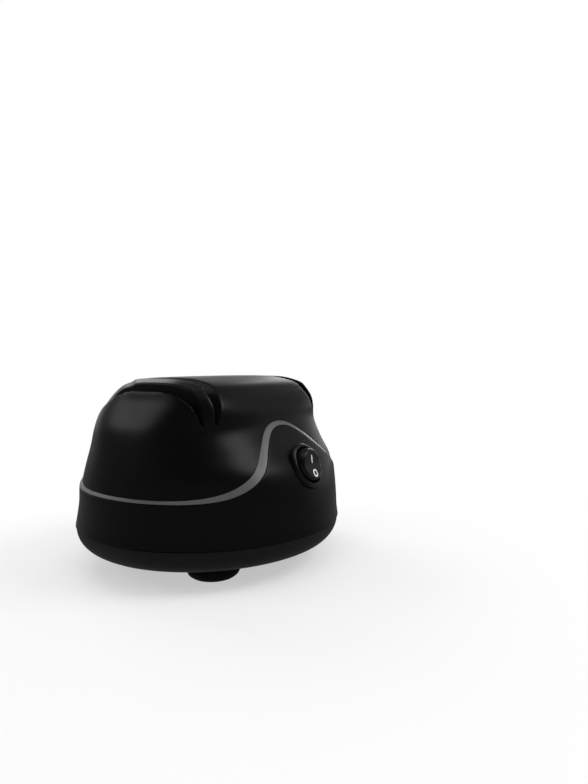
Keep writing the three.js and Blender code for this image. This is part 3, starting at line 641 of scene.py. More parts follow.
def curve_through(start, corner, end, steps):
    """Points on the curve that leaves start and reaches end towards one corner."""
    t = np.linspace(0, 1, steps + 1).reshape(-1, *[1] * np.ndim(start))
    return (1 - t) ** 2 * start + 2 * t * (1 - t) * corner + t ** 2 * end


def rounded(profile, radius, steps=4):
    """Profile with each inner corner taken off by a curve that starts radius before it."""
    profile = np.array(profile, float)
    points = [profile[0]]
    for before, corner, after in zip(profile, profile[1:], profile[2:]):
        start = toward(corner, before, radius)
        points.extend(curve_through(start, corner, toward(corner, after, radius), steps))
    points.append(profile[-1])
    return np.array(points)


def unit(run):
    return run / np.linalg.norm(run, axis=-1, keepdims=True)


def toward(corner, other, radius):
    """Point at a radius from the corner on the way to another, short of half way."""
    run = other - corner
    length = np.linalg.norm(run)
    return corner + run * min(radius, NEAR_HALF * length) / max(length, 1e-9)


def rod(name, radius, low, high, steps=ROUND_STEPS, place=(0, 0)):
    made = turned(name, [[0, low], [radius, low], [radius, high], [0, high]], steps)
    return move(made, shift(*place))


def block(name, low, high):
    corners = [(x, y, z) for x in (low[0], high[0]) for y in (low[1], high[1])
               for z in (low[2], high[2])]
    faces = [(0, 1, 3, 2), (4, 6, 7, 5), (0, 4, 5, 1), (2, 3, 7, 6), (0, 2, 6, 4), (1, 5, 7, 3)]
    return weld(scratch(name, corners, faces))


def prism(name, outline, low, high):
    """Outline in [x, z] drawn along Y from low to high."""
    count = len(outline)
    points = [(x, y, z) for y in (low, high) for x, z in outline]
    faces = [tuple(range(count)), tuple(range(2 * count - 1, count - 1, -1))]
    for i in range(count):
        after = (i + 1) % count
        faces.append((i, i + count, after + count, after))
    return weld(scratch(name, points, faces))


def move(piece, matrix):
    piece.data.transform(matrix)
    return piece


def shift(x=0, y=0, z=0):
    """Move by millimetres."""
    return Matrix.Translation((x * MM, y * MM, z * MM))


def quarter_turn(axis, side=1):
    return Matrix.Rotation(side * math.pi / 2, 4, axis)


def seat_frame(angle, height):
    """Centre of a seat that is square to the lower half, in millimetres, and its lean."""
    row = row_at_height(height)
    step = 0.01
    centre, above, below = case_point(angle, np.array([row, row + step, row - step]), PROUD)
    lean = math.atan2(abs(below[1]) - abs(above[1]), above[2] - below[2])
    return centre, lean


SWITCH_CENTRE, SWITCH_TILT = seat_frame(-math.pi / 2, SWITCH_HEIGHT)
SWITCH_TILT -= SEAT_UPRIGHT
TO_SWITCH = shift(0, *SWITCH_CENTRE[1:]) @ Matrix.Rotation(math.pi / 2 - SWITCH_TILT, 4, "X")
INLET_CENTRE, _ = seat_frame(math.pi / 2, INLET_HEIGHT)
TO_INLET = shift(0, INLET_CENTRE[1], INLET_HEIGHT) @ quarter_turn("X", -1)


HARD_EDGE = 35
SOFT_EDGE = 60


def finish_piece(piece, material, body, replaced=(), sharp=HARD_EDGE):
    """Give a piece its material and slot, smooth it and let it ride on its body."""
    piece.data.materials.clear()
    piece.data.materials.append(material)
    piece.data.shade_smooth()
    piece.data.set_sharp_from_angle(angle=math.radians(sharp))
    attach(piece, body)
    if replaced:
        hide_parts(*replaced)
    return piece


# Upper half of the case

CAP_HEIGHT = 74.0
FAN_HEIGHT = 56.0
MIDDLE_LIFT = 0.2
MIDDLE_REACH = 28.0
MIDDLE_SHARPNESS = 4
CORNER_X = 58.0
LIP_ROUND = 0.8
RIB_ROUND = 0.9
RIB_FALL = 1.9
RIB_FALL_WIDTH = 4.0
ROOT_ROUND = 0.4
MOUTH_REACH = 20.0
OVERRUN = 1.0
CLOSING_HEIGHT = 60.0
BOUNDARY_STEPS = 2400
CORE_STEPS = 128
CORE_ROWS = 30
CAP_ROWS = 150
WALL_ROWS = 16
LIP_STEPS = 5
ROOT_STEPS = 2
END_COLUMNS = 14
RIB_COLUMNS = 3
MIDDLE_COLUMNS = 44


def fan_points(x, slope):
    """Points of the case over each X, on rays that fan out in Y from a line below the top."""
    x, slope = np.broadcast_arrays(np.asarray(x, float), np.asarray(slope, float))

    def outside(row):
        return past_plan(row, x, slope * (row_height(row, 0.0) - FAN_HEIGHT), slope >= 0)

    height = row_height(solve(outside, row_at_height(FAN_HEIGHT), 1, x.shape), 0.0)
    return np.stack([x, slope * (height - FAN_HEIGHT), height], axis=-1)


def fan_slope(points):
    return points[..., 1] / (points[..., 2] - FAN_HEIGHT)


def inward(x, slope):
    """Unit vectors into the case at its points, in the plane across X."""
    near = 0.001
    turn = 0.0001
    across = fan_points(x + near, slope) - fan_points(x - near, slope)
    along = fan_points(x, slope + turn) - fan_points(x, slope - turn)
    out = np.cross(across, along)
    out[..., 0] = 0
    return -unit(out)


def cap_boundary():
    """Plan of the level line on the case from which the top is laid out in columns."""
    return case_point(angles_round(BOUNDARY_STEPS), row_at_height(CAP_HEIGHT))


def cap_end(boundary, x, rear):
    """Y of the boundary at an X, in front or at the rear."""
    half = boundary[boundary[:, 1] >= 0] if rear else boundary[boundary[:, 1] <= 0]
    half = half[np.argsort(half[:, 0])]
    return np.interp(x, half[:, 0], half[:, 1])


def cap_side(boundary, y, side):
    """X of the boundary at each Y, at the left or right end."""
    half = boundary[boundary[:, 0] * side > 0]
    half = half[np.argsort(half[:, 1])]
    return np.interp(y, half[:, 1], half[:, 0])


def slot_columns(boundary, stage, lean, share):
    """Columns of points across one slot, from the rib out over the leaning wall."""

    def fan(across):
        x = stage + lean * np.broadcast_to(across, share.shape)
        front = cap_end(boundary, x, False)
        rear = cap_end(boundary, x, True)
        return x, (front + (rear - front) * share) / (CAP_HEIGHT - FAN_HEIGHT)

    def point(across, height=CROWN):
        x, slope = fan(across)
        height = np.minimum(height, fan_points(x, slope)[..., 2])
        return np.stack([x, slope * (height - FAN_HEIGHT), height], axis=-1)

    def inset(across, reach, lean_share):
        """Point on the case moved into it by reach, along a wall that leans by a share."""
        into = inward(*fan(across)) * reach[:, None]
        into[:, 0] = lean * lean_share * into[:, 2]
        return point(across) + into

    depth = np.maximum(point(RIB_HALF)[:, 2] - SLOT_FLOOR, 0)
    turn = np.minimum(RIB_ROUND, NEAR_HALF * depth)
    root = np.minimum(ROOT_ROUND, depth / 4)

    def rib_edge():
        """From the rib's crest over its edge. The crest falls on its outer side alone."""
        if stage * lean < 0:
            start = point(RIB_HALF - turn)
            return curve_through(start, point(RIB_HALF), inset(RIB_HALF, turn, 0), 2 * LIP_STEPS)
        fall = np.minimum(RIB_FALL, depth / 5)
        crest = point(RIB_HALF - RIB_FALL_WIDTH)
        edge = inset(RIB_HALF, fall, 0)
        start = edge + (crest - edge) * (turn / RIB_FALL_WIDTH)[:, None]
        bend = curve_through(start, edge, inset(RIB_HALF, fall + turn, 0), 2 * LIP_STEPS)
        return np.concatenate([[crest, (crest + start) / 2], bend])

    def over(across):
        return SLOT_FLOOR + (across - FLOOR_HALF) / SLOT_LEAN - point(across)[:, 2]

    mouth = solve(over, FLOOR_HALF, FLOOR_HALF + MOUTH_REACH, share.shape)
    mouth = np.where(depth > 0, mouth, FLOOR_HALF)
    lip = np.minimum(LIP_ROUND, NEAR_HALF * np.maximum(point(mouth)[:, 2] - SLOT_FLOOR, 0))
    floor_lip = curve_through(
        point(RIB_HALF, SLOT_FLOOR + root),
        point(RIB_HALF, SLOT_FLOOR),
        point(RIB_HALF + root, SLOT_FLOOR),
        ROOT_STEPS,
    )
    floor_out = curve_through(
        point(FLOOR_HALF - root / 2, SLOT_FLOOR),
        point(FLOOR_HALF, SLOT_FLOOR),
        point(FLOOR_HALF + root * SLOT_LEAN, SLOT_FLOOR + root),
        ROOT_STEPS,
    )
    wall_lip = curve_through(
        inset(mouth, lip, SLOT_LEAN), point(mouth), point(mouth + lip), LIP_STEPS
    )
    return np.concatenate([rib_edge(), floor_lip, floor_out, wall_lip])


def between(first, last, count, lift=0.0):
    """Columns laid on the case between two columns, with their ends lifted in the middle."""
    steps = np.linspace(0, 1, count + 2)[1:-1, None]
    x = first[:, 0] + (last[:, 0] - first[:, 0]) * steps
    start = fan_slope(first)
    slope = start + (fan_slope(last) - start) * steps
    return fan_points(x, slope * (1 - lift * np.exp(-((x / MIDDLE_REACH) ** MIDDLE_SHARPNESS))))


def top_columns(boundary):
    """All the columns of the top, from the left end of the case to the right."""
    share = np.linspace(0, 1, CAP_ROWS + 1)
    ends = []
    stages = []
    for side in (-1, 1):
        front = cap_end(boundary, side * CORNER_X, False)
        rear = cap_end(boundary, side * CORNER_X, True)
        y = front + (rear - front) * share
        slope = y / (CAP_HEIGHT - FAN_HEIGHT)
        ends.append(fan_points(cap_side(boundary, y, side), slope)[None])
        low = slot_columns(boundary, side * STAGE, -1, share)[::-1]
        high = slot_columns(boundary, side * STAGE, 1, share)
        rib = between(low[-1], high[0], RIB_COLUMNS)
        stages.append(np.concatenate([low, rib, high]))
    left, right = ends
    return np.concatenate([
        left,
        between(left[0], stages[0][0], END_COLUMNS),
        stages[0],
        between(stages[0][-1], stages[1][0], MIDDLE_COLUMNS, MIDDLE_LIFT),
        stages[1],
        between(stages[1][-1], right[0], END_COLUMNS),
        right,
    ])


def upper_outside():
    """Closed body of the upper half's outside with its slots, still filled inside."""
    columns = top_columns(cap_boundary())
    wide, deep, _ = columns.shape
    faces = grid_faces(wide, deep)
    loop = (
        [i * deep for i in range(wide)]
        + [(wide - 1) * deep + j for j in range(1, deep)]
        + [i * deep + deep - 1 for i in range(wide - 2, -1, -1)]
        + [j for j in range(deep - 2, 0, -1)]
    )
    points = columns.reshape(-1, 3)
    start = points[loop]
    angles = np.arctan2(start[:, 1], start[:, 0])
    first = solve(lambda row: row_height(row, 0.0) - start[:, 2], 0, LAST_ROW, angles.shape)
    rim = edge_row(angles, 0, BAND_TOP, GAP / 2)
    down = np.linspace(0, 1, WALL_ROWS + 1)[1:, None]
    wall = case_point(angles[None], first + (rim - first) * down)
    inner = case_point(angles, rim, -WALL - OVERRUN)
    inner[:, 2] = wall[-1, :, 2]
    rings = np.concatenate([wall, inner[None]])
    base = len(points)
    around = len(loop)
    order = list(loop)
    for ring in range(len(rings)):
        below = [base + ring * around + i for i in range(around)]
        for i in range(around):
            after = (i + 1) % around
            faces.append((order[i], order[after], below[after], below[i]))
        order = below
    points = np.concatenate([points, rings.reshape(-1, 3), [[0, 0, CLOSING_HEIGHT]]])
    centre = len(points) - 1
    for i in range(around):
        faces.append((order[i], order[(i + 1) % around], centre))
    return weld(scratch("upper_shell", points, faces))


def filled_case(name, offset, fall):
    """Case as one filled body, from the seam up to the crown."""
    levels = np.linspace(0, 1, CORE_ROWS, endpoint=False)[:, None]
    profiles = case_point(angles_round(CORE_STEPS)[None], levels, offset, fall)
    return ring_mesh(name, profiles, closed=False)


def trough(side):
    """Room that a stage's slots, their walls and their floors take up in the cavity."""
    floor = SLOT_FLOOR - TROUGH_FLOOR
    foot = FLOOR_HALF + TROUGH_WALL
    top = CROWN + CUT_SPARE
    head = foot + (top - floor) * SLOT_LEAN
    outline = [(-foot, floor), (foot, floor), (head, top), (-head, top)]
    outline = [(side * STAGE + x, z) for x, z in outline]
    return prism("trough", outline, -HALF_LENGTH - CUT_SPARE, HALF_LENGTH + CUT_SPARE)


def boss(x, y):
    """Screw boss from its foot up into the roof of the upper half."""
    low = ring_points(BOSS_RADIUS, angles_round(HOLE_STEPS), BOSS_FOOT) + (x, y, 0)
    high = low.copy()
    high[:, 2] = case_height(low[:, 0], low[:, 1]) - WALL / 2
    return ring_mesh("boss", np.stack([low, high]), closed=False)


CORNERS = {
    "front_left": (-1, -1),
    "front_right": (1, -1),
    "rear_left": (-1, 1),
    "rear_right": (1, 1),
}


def corner_places(place):
    return [(x * place[0], y * place[1]) for x, y in CORNERS.values()]


def upper_shell():
    shell = upper_outside()
    cavity = filled_case("cavity", -WALL, WALL)
    combine(cavity, [trough(side) for side in (-1, 1)])
    combine(shell, [cavity])
    bosses = corner_places(BOSS_PLACE)
    combine(shell, [boss(x, y) for x, y in bosses], "UNION")
    pilot_top = BOSS_FOOT + SCREW_BITE + GAP
    combine(shell, [
        rod("pilot", SCREW_RADIUS + GAP, BOSS_FOOT - CUT_SPARE, pilot_top, HOLE_STEPS, place)
        for place in bosses
    ])
    for side in (-1, 1):
        pocket = rod("pocket", DISC_POCKET, -POCKET_HALF, POCKET_HALF, WIDE_STEPS)
        move(pocket, shift(side * STAGE, 0, SHAFT_HEIGHT) @ quarter_turn("Y"))
        combine(shell, [pocket])
    finish_piece(shell, HOUSING, "case", ["upper_housing"])


upper_shell()


# Trim band

BAND_STEPS = 256
BAND_ROUND = 0.22
EDGE_STEPS = 4


def trim_band():
    angles = angles_round(BAND_STEPS)
    foot = edge_row(angles, PROUD, BAND_FOOT, GAP / 2)
    head = edge_row(angles, 0, BAND_TOP, -GAP / 2)
    low = case_point(angles, foot, PROUD)
    high = case_point(angles, head, 0)
    low_in = case_point(angles, np.array([row_at_height(z) for z in low[:, 2]]), -WALL)
    high_in = case_point(angles, np.array([row_at_height(z) for z in high[:, 2]]), -WALL)
    corners = [low_in, low, high, high_in]
    profile = [low_in]
    for before, corner, after in zip(corners, corners[1:], corners[2:]):
        start = corner + unit(before - corner) * BAND_ROUND
        end = corner + unit(after - corner) * BAND_ROUND
        profile.extend(curve_through(start, corner, end, EDGE_STEPS))
    profile.append(high_in)
    band = ring_mesh("trim_band", np.stack(profile))
    finish_piece(band, BAND, "case", ["accent_band"])


trim_band()


# Lower half of the case

LOWER_STEPS = 256
LOWER_ROWS = 26
EDGE_ROUND = 0.35


def eased_edge(angles, edge, start):
    """Curve from the lower half's face at the start row round its edge to the inside."""
    return curve_through(
        case_point(angles, start, PROUD),
        case_point(angles, edge, PROUD),
        case_point(angles, edge, PROUD - EDGE_ROUND),
        EDGE_STEPS,
    )


def lower_shell():
    angles = angles_round(LOWER_STEPS)
    rim = edge_row(angles, PROUD, BAND_FOOT, -GAP / 2)
    rim_height = case_point(angles, rim, PROUD)[:, 2]
    foot = row_at_height(SEAM + GAP / 2)
    inner_rim = np.array([row_at_height(z) for z in rim_height])
    down = np.linspace(0, 1, LOWER_ROWS + 1)[:, None]
    high = edge_row(angles, PROUD, BAND_FOOT, -GAP / 2 - EDGE_ROUND)
    low = row_at_height(SEAM + GAP / 2 + EDGE_ROUND)
    outer = case_point(angles[None], high + (low - high) * down[1:-1], PROUD)
    inner = case_point(angles[None], foot + (inner_rim - foot) * down[::2], PROUD - WALL)
    profile = np.concatenate([
        eased_edge(angles, rim, high)[::-1],
        outer,
        eased_edge(angles, foot, low),
        inner,
    ])
    shell = ring_mesh("lower_shell", profile)
    for radius, seat in ((BEZEL_RADIUS, TO_SWITCH), (INLET_FLANGE_RADIUS, TO_INLET)):
        pad = move(rod("pad", radius + WALL, -SEAT_PAD, CUT_SPARE), seat)
        combine(pad, [filled_case("core", PROUD - WALL / 2, WALL / 2)], "INTERSECT")
        combine(shell, [pad], "UNION")
    for radius, depth, steps, seat in (
        (BEZEL_RADIUS, SEAT_DEPTH, WIDE_STEPS, TO_SWITCH),
        (BARREL_RADIUS, BARREL_LENGTH, TURNED_STEPS, TO_SWITCH),
        (INLET_FLANGE_RADIUS, INLET_RECESS, TURNED_STEPS, TO_INLET),
        (INLET_NECK, BARREL_LENGTH, ROUND_STEPS, TO_INLET),
    ):
        combine(shell, [move(rod("recess", radius + GAP, -depth, CUT_SPARE, steps), seat)])
    finish_piece(shell, HOUSING, "case", ["lower_housing"])


lower_shell()


# Base cover

COVER_STEPS = 256
COVER_ROWS = 20


def cover_ring(angles, offset, height):
    ring = case_point(angles, 0.0, offset)
    ring[:, 2] = height
    return ring


def base_cover():
    angles = angles_round(COVER_STEPS)
    seam_top = SEAM - GAP / 2
    outside = PROUD - SEAM_INSET
    lip_outside = PROUD - WALL - 2 * GAP
    turns = np.linspace(0, math.pi / 2, COVER_ROWS + 1)
    outer = [
        cover_ring(
            angles,
            outside - BASE_TUCK * (1 - math.cos(turn)),
            seam_top - (seam_top - BASE_FLOOR) * math.sin(turn),
        )
        for turn in turns
    ]
    inner = [
        cover_ring(
            angles,
            lip_outside - LIP_THICKNESS - (BASE_TUCK - WALL) * (1 - math.cos(turn)),
            seam_top - (seam_top - BASE_INSIDE) * math.sin(turn),
        )
        for turn in turns[::-2]
    ]
    lip_row = row_at_height(SEAM + LIP_HEIGHT)
    lip = [
        case_point(angles, lip_row, lip_outside - LIP_THICKNESS),
        case_point(angles, lip_row, lip_outside),
        cover_ring(angles, lip_outside, seam_top),
    ]
    edge = curve_through(
        cover_ring(angles, outside - EDGE_ROUND, seam_top),
        cover_ring(angles, outside, seam_top),
        cover_ring(angles, outside, seam_top - EDGE_ROUND),
        EDGE_STEPS,
    )
    cover = ring_mesh("base_shell", np.stack(inner + lip + list(edge) + outer[1:]), closed=False)
    sleeve = SCREW_HEAD + GAP + SLEEVE_WALL
    floor = BASE_FLOOR + WALL / 2
    bosses = corner_places(BOSS_PLACE)
    combine(cover, [
        rod("sleeve", sleeve, floor, BOSS_FOOT - GAP, SLEEVE_STEPS, place) for place in bosses
    ], "UNION")
    for y in (-MOTOR_SCREW_Y, MOTOR_SCREW_Y):
        low = (-SADDLE[0], y - SADDLE[1], floor)
        high = (SADDLE[0], y + SADDLE[1], STACK_FOOT - GAP)
        combine(cover, [block("saddle", low, high)], "UNION")
    under = BASE_FLOOR - CUT_SPARE
    for place in bosses:
        combine(cover, [
            rod("head", SCREW_HEAD + GAP, under, SCREW_LEVEL + GAP, SLEEVE_STEPS, place),
            rod("shank", SCREW_RADIUS + GAP, SCREW_LEVEL, BOSS_FOOT + CUT_SPARE, HOLE_STEPS, place),
        ])
    combine(cover, [
        rod("peg_hole", FOOT_PEG + GAP, under, BASE_INSIDE + CUT_SPARE, SLEEVE_STEPS, place)
        for place in corner_places(FOOT_PLACE)
    ])
    vents = (np.arange(VENT_COUNT) - (VENT_COUNT - 1) / 2) * VENT_PITCH
    combine(cover, [vent_slot(x) for x in vents])
    finish_piece(cover, BASE, "case", ["base_cover"])


def vent_slot(x):
    """Round-ended slot through the floor of the base cover."""
    half = VENT_WIDTH / 2
    run = VENT_LENGTH / 2 - half
    turns = np.linspace(0, math.pi, VENT_ARC)
    arc = [(half * math.cos(turn), run + half * math.sin(turn)) for turn in turns]
    outline = arc + [(-across, -along) for across, along in arc]
    vent = prism("vent", outline, -BASE_INSIDE - CUT_SPARE, CUT_SPARE - BASE_FLOOR)
    return move(vent, shift(x) @ quarter_turn("X", -1))


base_cover()


# Suction feet


def suction_foot(name, place):
    under = BASE_FLOOR - GAP
    profile = rounded([
        [0, FOOT_CUP],
        [0.6 * FOOT_RIM, 0.8 * FOOT_CUP],
        [FOOT_RIM, 0],
        [0.76 * FOOT_RADIUS, 0],
        [0.92 * FOOT_RADIUS, 0.2 * under],
        [FOOT_RADIUS, 0.48 * under],
        [0.97 * FOOT_RADIUS, 0.76 * under],
        [0.88 * FOOT_RADIUS, under],
        [FOOT_PEG, under],
        [FOOT_PEG, BASE_INSIDE + GAP],
        [FOOT_BEAD, BASE_INSIDE + GAP],
        [FOOT_PEG, BASE_INSIDE + GAP + WALL],
        [0, BASE_INSIDE + GAP + WALL],
    ], FOOT_ROUND)
    foot = turned(f"rubber_foot_{name}", profile)
    move(foot, shift(*place))
    finish_piece(foot, RUBBER, "case", [f"foot_{name}"], SOFT_EDGE)


for foot_name, foot_place in zip(CORNERS, corner_places(FOOT_PLACE)):
    suction_foot(foot_name, foot_place)


# Switch


def switch_body():
    seat = -SEAT_DEPTH + GAP
    well = ROCKER_RADIUS + ROCKER_CLEARANCE
    bezel = rounded([
        [BARREL_RADIUS, seat],
        [BEZEL_RADIUS, seat],
        [BEZEL_RADIUS, 0.45 * BEZEL_PROUD],
        [BEZEL_RADIUS - BEZEL_SLOPE, BEZEL_PROUD],
        [well + WELL_SLOPE, BEZEL_PROUD],
        [well, 0.6 * BEZEL_PROUD],
        [well, -ROCKER_WELL],
    ], BEZEL_ROUND)
    profile = np.concatenate([
        [[0, -BARREL_LENGTH], [BARREL_RADIUS, -BARREL_LENGTH]],
        bezel,
        [[0, -ROCKER_WELL]],
    ])
    body = turned("switch_shell", profile, WIDE_STEPS)
    width, thick = TERMINAL[0] / 2 + GAP, TERMINAL[1] / 2 + GAP
    for y in (-TERMINAL_OFFSET, TERMINAL_OFFSET):
        low = (-width, y - thick, -BARREL_LENGTH - CUT_SPARE)
        high = (width, y + thick, -BARREL_LENGTH + TERMINAL_SOCKET + GAP)
        combine(body, [block("socket", low, high)])
    move(body, TO_SWITCH)
    finish_piece(body, SWITCH, "case", ["switch_body"])


ROCKER_SOFT = 0.8
ROCKER_LIP = 0.7
FACE_RINGS = 14
LIP_RINGS = 5
SIDE_RINGS = 7


def rocker_face(y):
    """Height of the rocker's hollow face above its pivot, softened at the middle."""
    rise = math.tan(ROCKER_THROW / 2)
    return ROCKER_CROWN + rise * (np.sqrt(y * y + ROCKER_SOFT ** 2) - ROCKER_SOFT)


TO_ROCKER = TO_SWITCH @ Matrix.Rotation(ROCKER_THROW / 2, 4, "X")


def switch_rocker():
    """Ball-sided paddle, built in rings from the middle of its face round to its keel."""
    angles = angles_round(WIDE_STEPS)
    sine = np.sin(angles)

    def beyond(radius):
        return radius ** 2 + rocker_face(radius * sine) ** 2 - ROCKER_RADIUS ** 2

    def face(radius):
        return np.stack([radius, rocker_face(radius * sine)], axis=-1)

    def side(turn):
        return ROCKER_RADIUS * np.stack([np.cos(turn), np.sin(turn)], axis=-1)

    rim = solve(beyond, 0, ROCKER_RADIUS, angles.shape)
    edge = face(rim)
    start = np.arcsin(edge[:, 1] / ROCKER_RADIUS) - ROCKER_LIP / ROCKER_RADIUS
    keel = -math.asin(ROCKER_KEEL / ROCKER_RADIUS)
    rings = [face((rim - ROCKER_LIP) * share) for share in np.linspace(0.02, 1, FACE_RINGS)]
    rings.extend(curve_through(rings[-1], edge, side(start), LIP_RINGS)[1:])
    for t in np.linspace(0, 1, SIDE_RINGS + 1)[1:]:
        rings.append(side(start + (keel - start) * t))
    rings = np.stack(rings)
    points = ring_points(rings[..., 0], angles, rings[..., 1])
    rocker = move(ring_mesh("rocker_paddle", points, closed=False), TO_ROCKER)
    finish_piece(rocker, SWITCH, "rocker", ["switch_rocker"])


MARK_RISE = 0.06
MARK_SINK = 0.2
MARK_ON = 2.8
MARK_OFF = -4.6
ON_SIZE = (0.45, 2.1)
OFF_OUTSIDE = (1.95, 2.05)
OFF_INSIDE = (1.0, 1.15)
BAR_POWER = 8
RING_POWER = 2.4


def face_mark(name, outer, inner=None):
    """Printed mark on the rocker's face, filled or between two outlines."""

    def lifted(outline, lift):
        return np.column_stack([outline, rocker_face(outline[:, 1]) + lift])

    rings = [lifted(outer, -MARK_SINK), lifted(outer, MARK_RISE)]
    if inner is not None:
        rings += [lifted(inner, MARK_RISE), lifted(inner, -MARK_SINK)]
    mark = move(ring_mesh(name, np.stack(rings), closed=inner is not None), TO_ROCKER)
    finish_piece(mark, MARK, "rocker")


def oval(size, middle, power=RING_POWER):
    half_width, half_height = size
    angles = angles_round(SLEEVE_STEPS)
    reach = (np.abs(np.cos(angles) / half_width) ** power
             + np.abs(np.sin(angles) / half_height) ** power) ** (-1 / power)
    return np.column_stack([reach * np.cos(angles), middle + reach * np.sin(angles)])


def rocker_marks():
    face_mark("mark_on", oval(ON_SIZE, MARK_ON, BAR_POWER))
    face_mark("mark_off", oval(OFF_OUTSIDE, MARK_OFF), oval(OFF_INSIDE, MARK_OFF))


def terminals():
    """Spade blades behind the switch, each with a hole near its free end."""
    width, thick = TERMINAL
    high = -BARREL_LENGTH + TERMINAL_SOCKET
    low = high - TERMINAL_LENGTH
    for y, name in ((-TERMINAL_OFFSET, "lower"), (TERMINAL_OFFSET, "upper")):
        corners = ((-width / 2, y - thick / 2, low), (width / 2, y + thick / 2, high))
        blade = block(f"spade_{name}", *corners)
        hole = rod("hole", width / 4, -CUT_SPARE, CUT_SPARE, HOLE_STEPS)
        move(hole, shift(0, y, low + TERMINAL_HOLE) @ quarter_turn("X"))
        move(combine(blade, [hole]), TO_SWITCH)
        finish_piece(blade, BRIGHT, "case", [f"switch_terminal_{name}"])


switch_body()
switch_rocker()
rocker_marks()
terminals()


# Cord inlet


def cord_inlet():
    face = INLET_FLANGE - INLET_RECESS + GAP
    back = face - INLET_FLANGE
    neck_end = -SEAT_PAD - GAP
    inner = neck_end - INLET_FLANGE
    half = INLET_FLANGE / 2
    profile = rounded([
        [INLET_BORE, (inner + face) / 2],
        [INLET_BORE, inner],
        [INLET_NECK, inner],
        [INLET_FLANGE_RADIUS, inner + half],
        [INLET_FLANGE_RADIUS, neck_end],
        [INLET_NECK, neck_end],
        [INLET_NECK, back],
        [INLET_FLANGE_RADIUS, back],
        [INLET_FLANGE_RADIUS, face - half],
        [INLET_NECK + half, face],
        [INLET_BORE, face],
        [INLET_BORE, (inner + face) / 2 + 0.1],
    ], EDGE_ROUND)
    inlet = turned("inlet_bushing", profile)
    move(inlet, TO_INLET)
    finish_piece(inlet, RUBBER, "case", ["cord_inlet_bushing"], SOFT_EDGE)


cord_inlet()


# Shaft line: the pieces that turn, their bearings and the screws

SHAFT_RADIUS = 3.0
SHAFT_END = 61.0
SHAFT_BORE = SHAFT_RADIUS + GAP
STACK_HALF = 10.0
ROTOR_RADIUS = 15.0
BUSH = (17.81, 26.81, 7.0)
WASHER = (27.11, 28.11, 6.0)
HUB = (40.6, 44.0, 55.2)
HUB_RADIUS = 5.2
COLLAR_RADIUS = 8.0
DISC_RADIUS = 22.0
DISC_FACE = 2.5
DISC_THICKNESS = 1.6
DISC_BOSS = (9.0, 2.4)
SPRING_STRIP = 0.3
SPRING_WAVES = 3
SPRING_STEPS = 120
NUT_HALF = 5.0
NUT = (55.5, 59.5)
NUT_CHAMFER = 0.45
THREAD_START = 53.0
THREAD_PITCH = 0.8
THREAD_DEPTH = 0.3
BRACKET_FACE = 12.8
SCREW_HEAD_HEIGHT = 2.4
CROSS = (0.45, 2.1, 1.3)
EDGE = 0.3


def shaft_frame(side=1):
    """Frame with its Z along the shaft, away from the motor on the given side."""
    return shift(z=SHAFT_HEIGHT) @ quarter_turn("Y", side)


def sleeve_profile(bore, steps):
    """Closed profile from a bore out over steps of [radius, place], its edges eased."""
    low, high = steps[0][1], steps[-1][1]
    middle = (low + high) / 2
    profile = [[bore, middle], [bore, low], *steps, [bore, high], [bore, middle + 0.01]]
    return rounded(profile, EDGE, 2)


def on_shaft(name, profile, side, body, node, material, steps=TURNED_STEPS):
    piece = move(turned(name, profile, steps), shaft_frame(side))
    finish_piece(piece, material, body, [node])


def motor_shaft():
    thread = []
    place = THREAD_START
    while place < SHAFT_END - 2 * THREAD_PITCH:
        thread += [
            [SHAFT_RADIUS, place],
            [SHAFT_RADIUS - THREAD_DEPTH, place + THREAD_PITCH / 2],
        ]
        place += THREAD_PITCH
    half = [*thread, [SHAFT_RADIUS, place], [SHAFT_RADIUS, SHAFT_END - EDGE],
            [SHAFT_RADIUS - EDGE, SHAFT_END], [0, SHAFT_END]]
    profile = [[radius, -place] for radius, place in half[::-1]] + half
    on_shaft("shaft_rod", profile, 1, "rotor", "motor_shaft", BRIGHT, ROUND_STEPS)


def grinding_disc(name, side, lean, material):
    """Disc whose flat face lies on the side of its slot, round a short boss."""
    boss_radius, boss_length = DISC_BOSS
    steps = [
        [DISC_RADIUS, STAGE + lean * (DISC_FACE - DISC_THICKNESS)],
        [DISC_RADIUS, STAGE + lean * DISC_FACE],
        [boss_radius, STAGE + lean * DISC_FACE],
        [boss_radius, STAGE + lean * (DISC_FACE + boss_length)],
    ]
    profile = sleeve_profile(HUB_RADIUS + GAP, steps)
    on_shaft(f"grinding_{name}", profile, side, "rotor", name, material, DISC_STEPS)


def wave_spring(name, side):
    """Flat wire ring that rises and falls as it goes round, between the discs of a stage."""
    angles = angles_round(SPRING_STEPS)
    bore = HUB_RADIUS + GAP
    level = STAGE + SPRING_STRIP * np.cos(SPRING_WAVES * angles)
    section = ((DISC_BOSS[0], 1), (DISC_BOSS[0], -1), (bore, -1), (bore, 1))
    rings = [ring_points(reach, angles, level + lift * SPRING_STRIP) for reach, lift in section]
    spring = move(ring_mesh(f"ring_{name}", np.stack(rings)), shaft_frame(side))
    finish_piece(spring, BRIGHT, "rotor", [name])


def shaft_nut(name, side):
    """Hexagon nut, its corners taken off by a turned blank."""
    low, high = NUT
    reach = NUT_HALF / math.cos(math.pi / 6)
    blank = turned(f"hexagon_{name}", [
        [SHAFT_BORE, low],
        [NUT_HALF, low],
        [reach, low + NUT_CHAMFER],
        [reach, high - NUT_CHAMFER],
        [NUT_HALF, high],
        [SHAFT_BORE, high],
    ])
    hexagon = rod("flats", reach, low - CUT_SPARE, high + CUT_SPARE, 6)
    combine(blank, [hexagon], "INTERSECT")
    move(blank, shaft_frame(side))
    finish_piece(blank, ZINC, "rotor", [name])


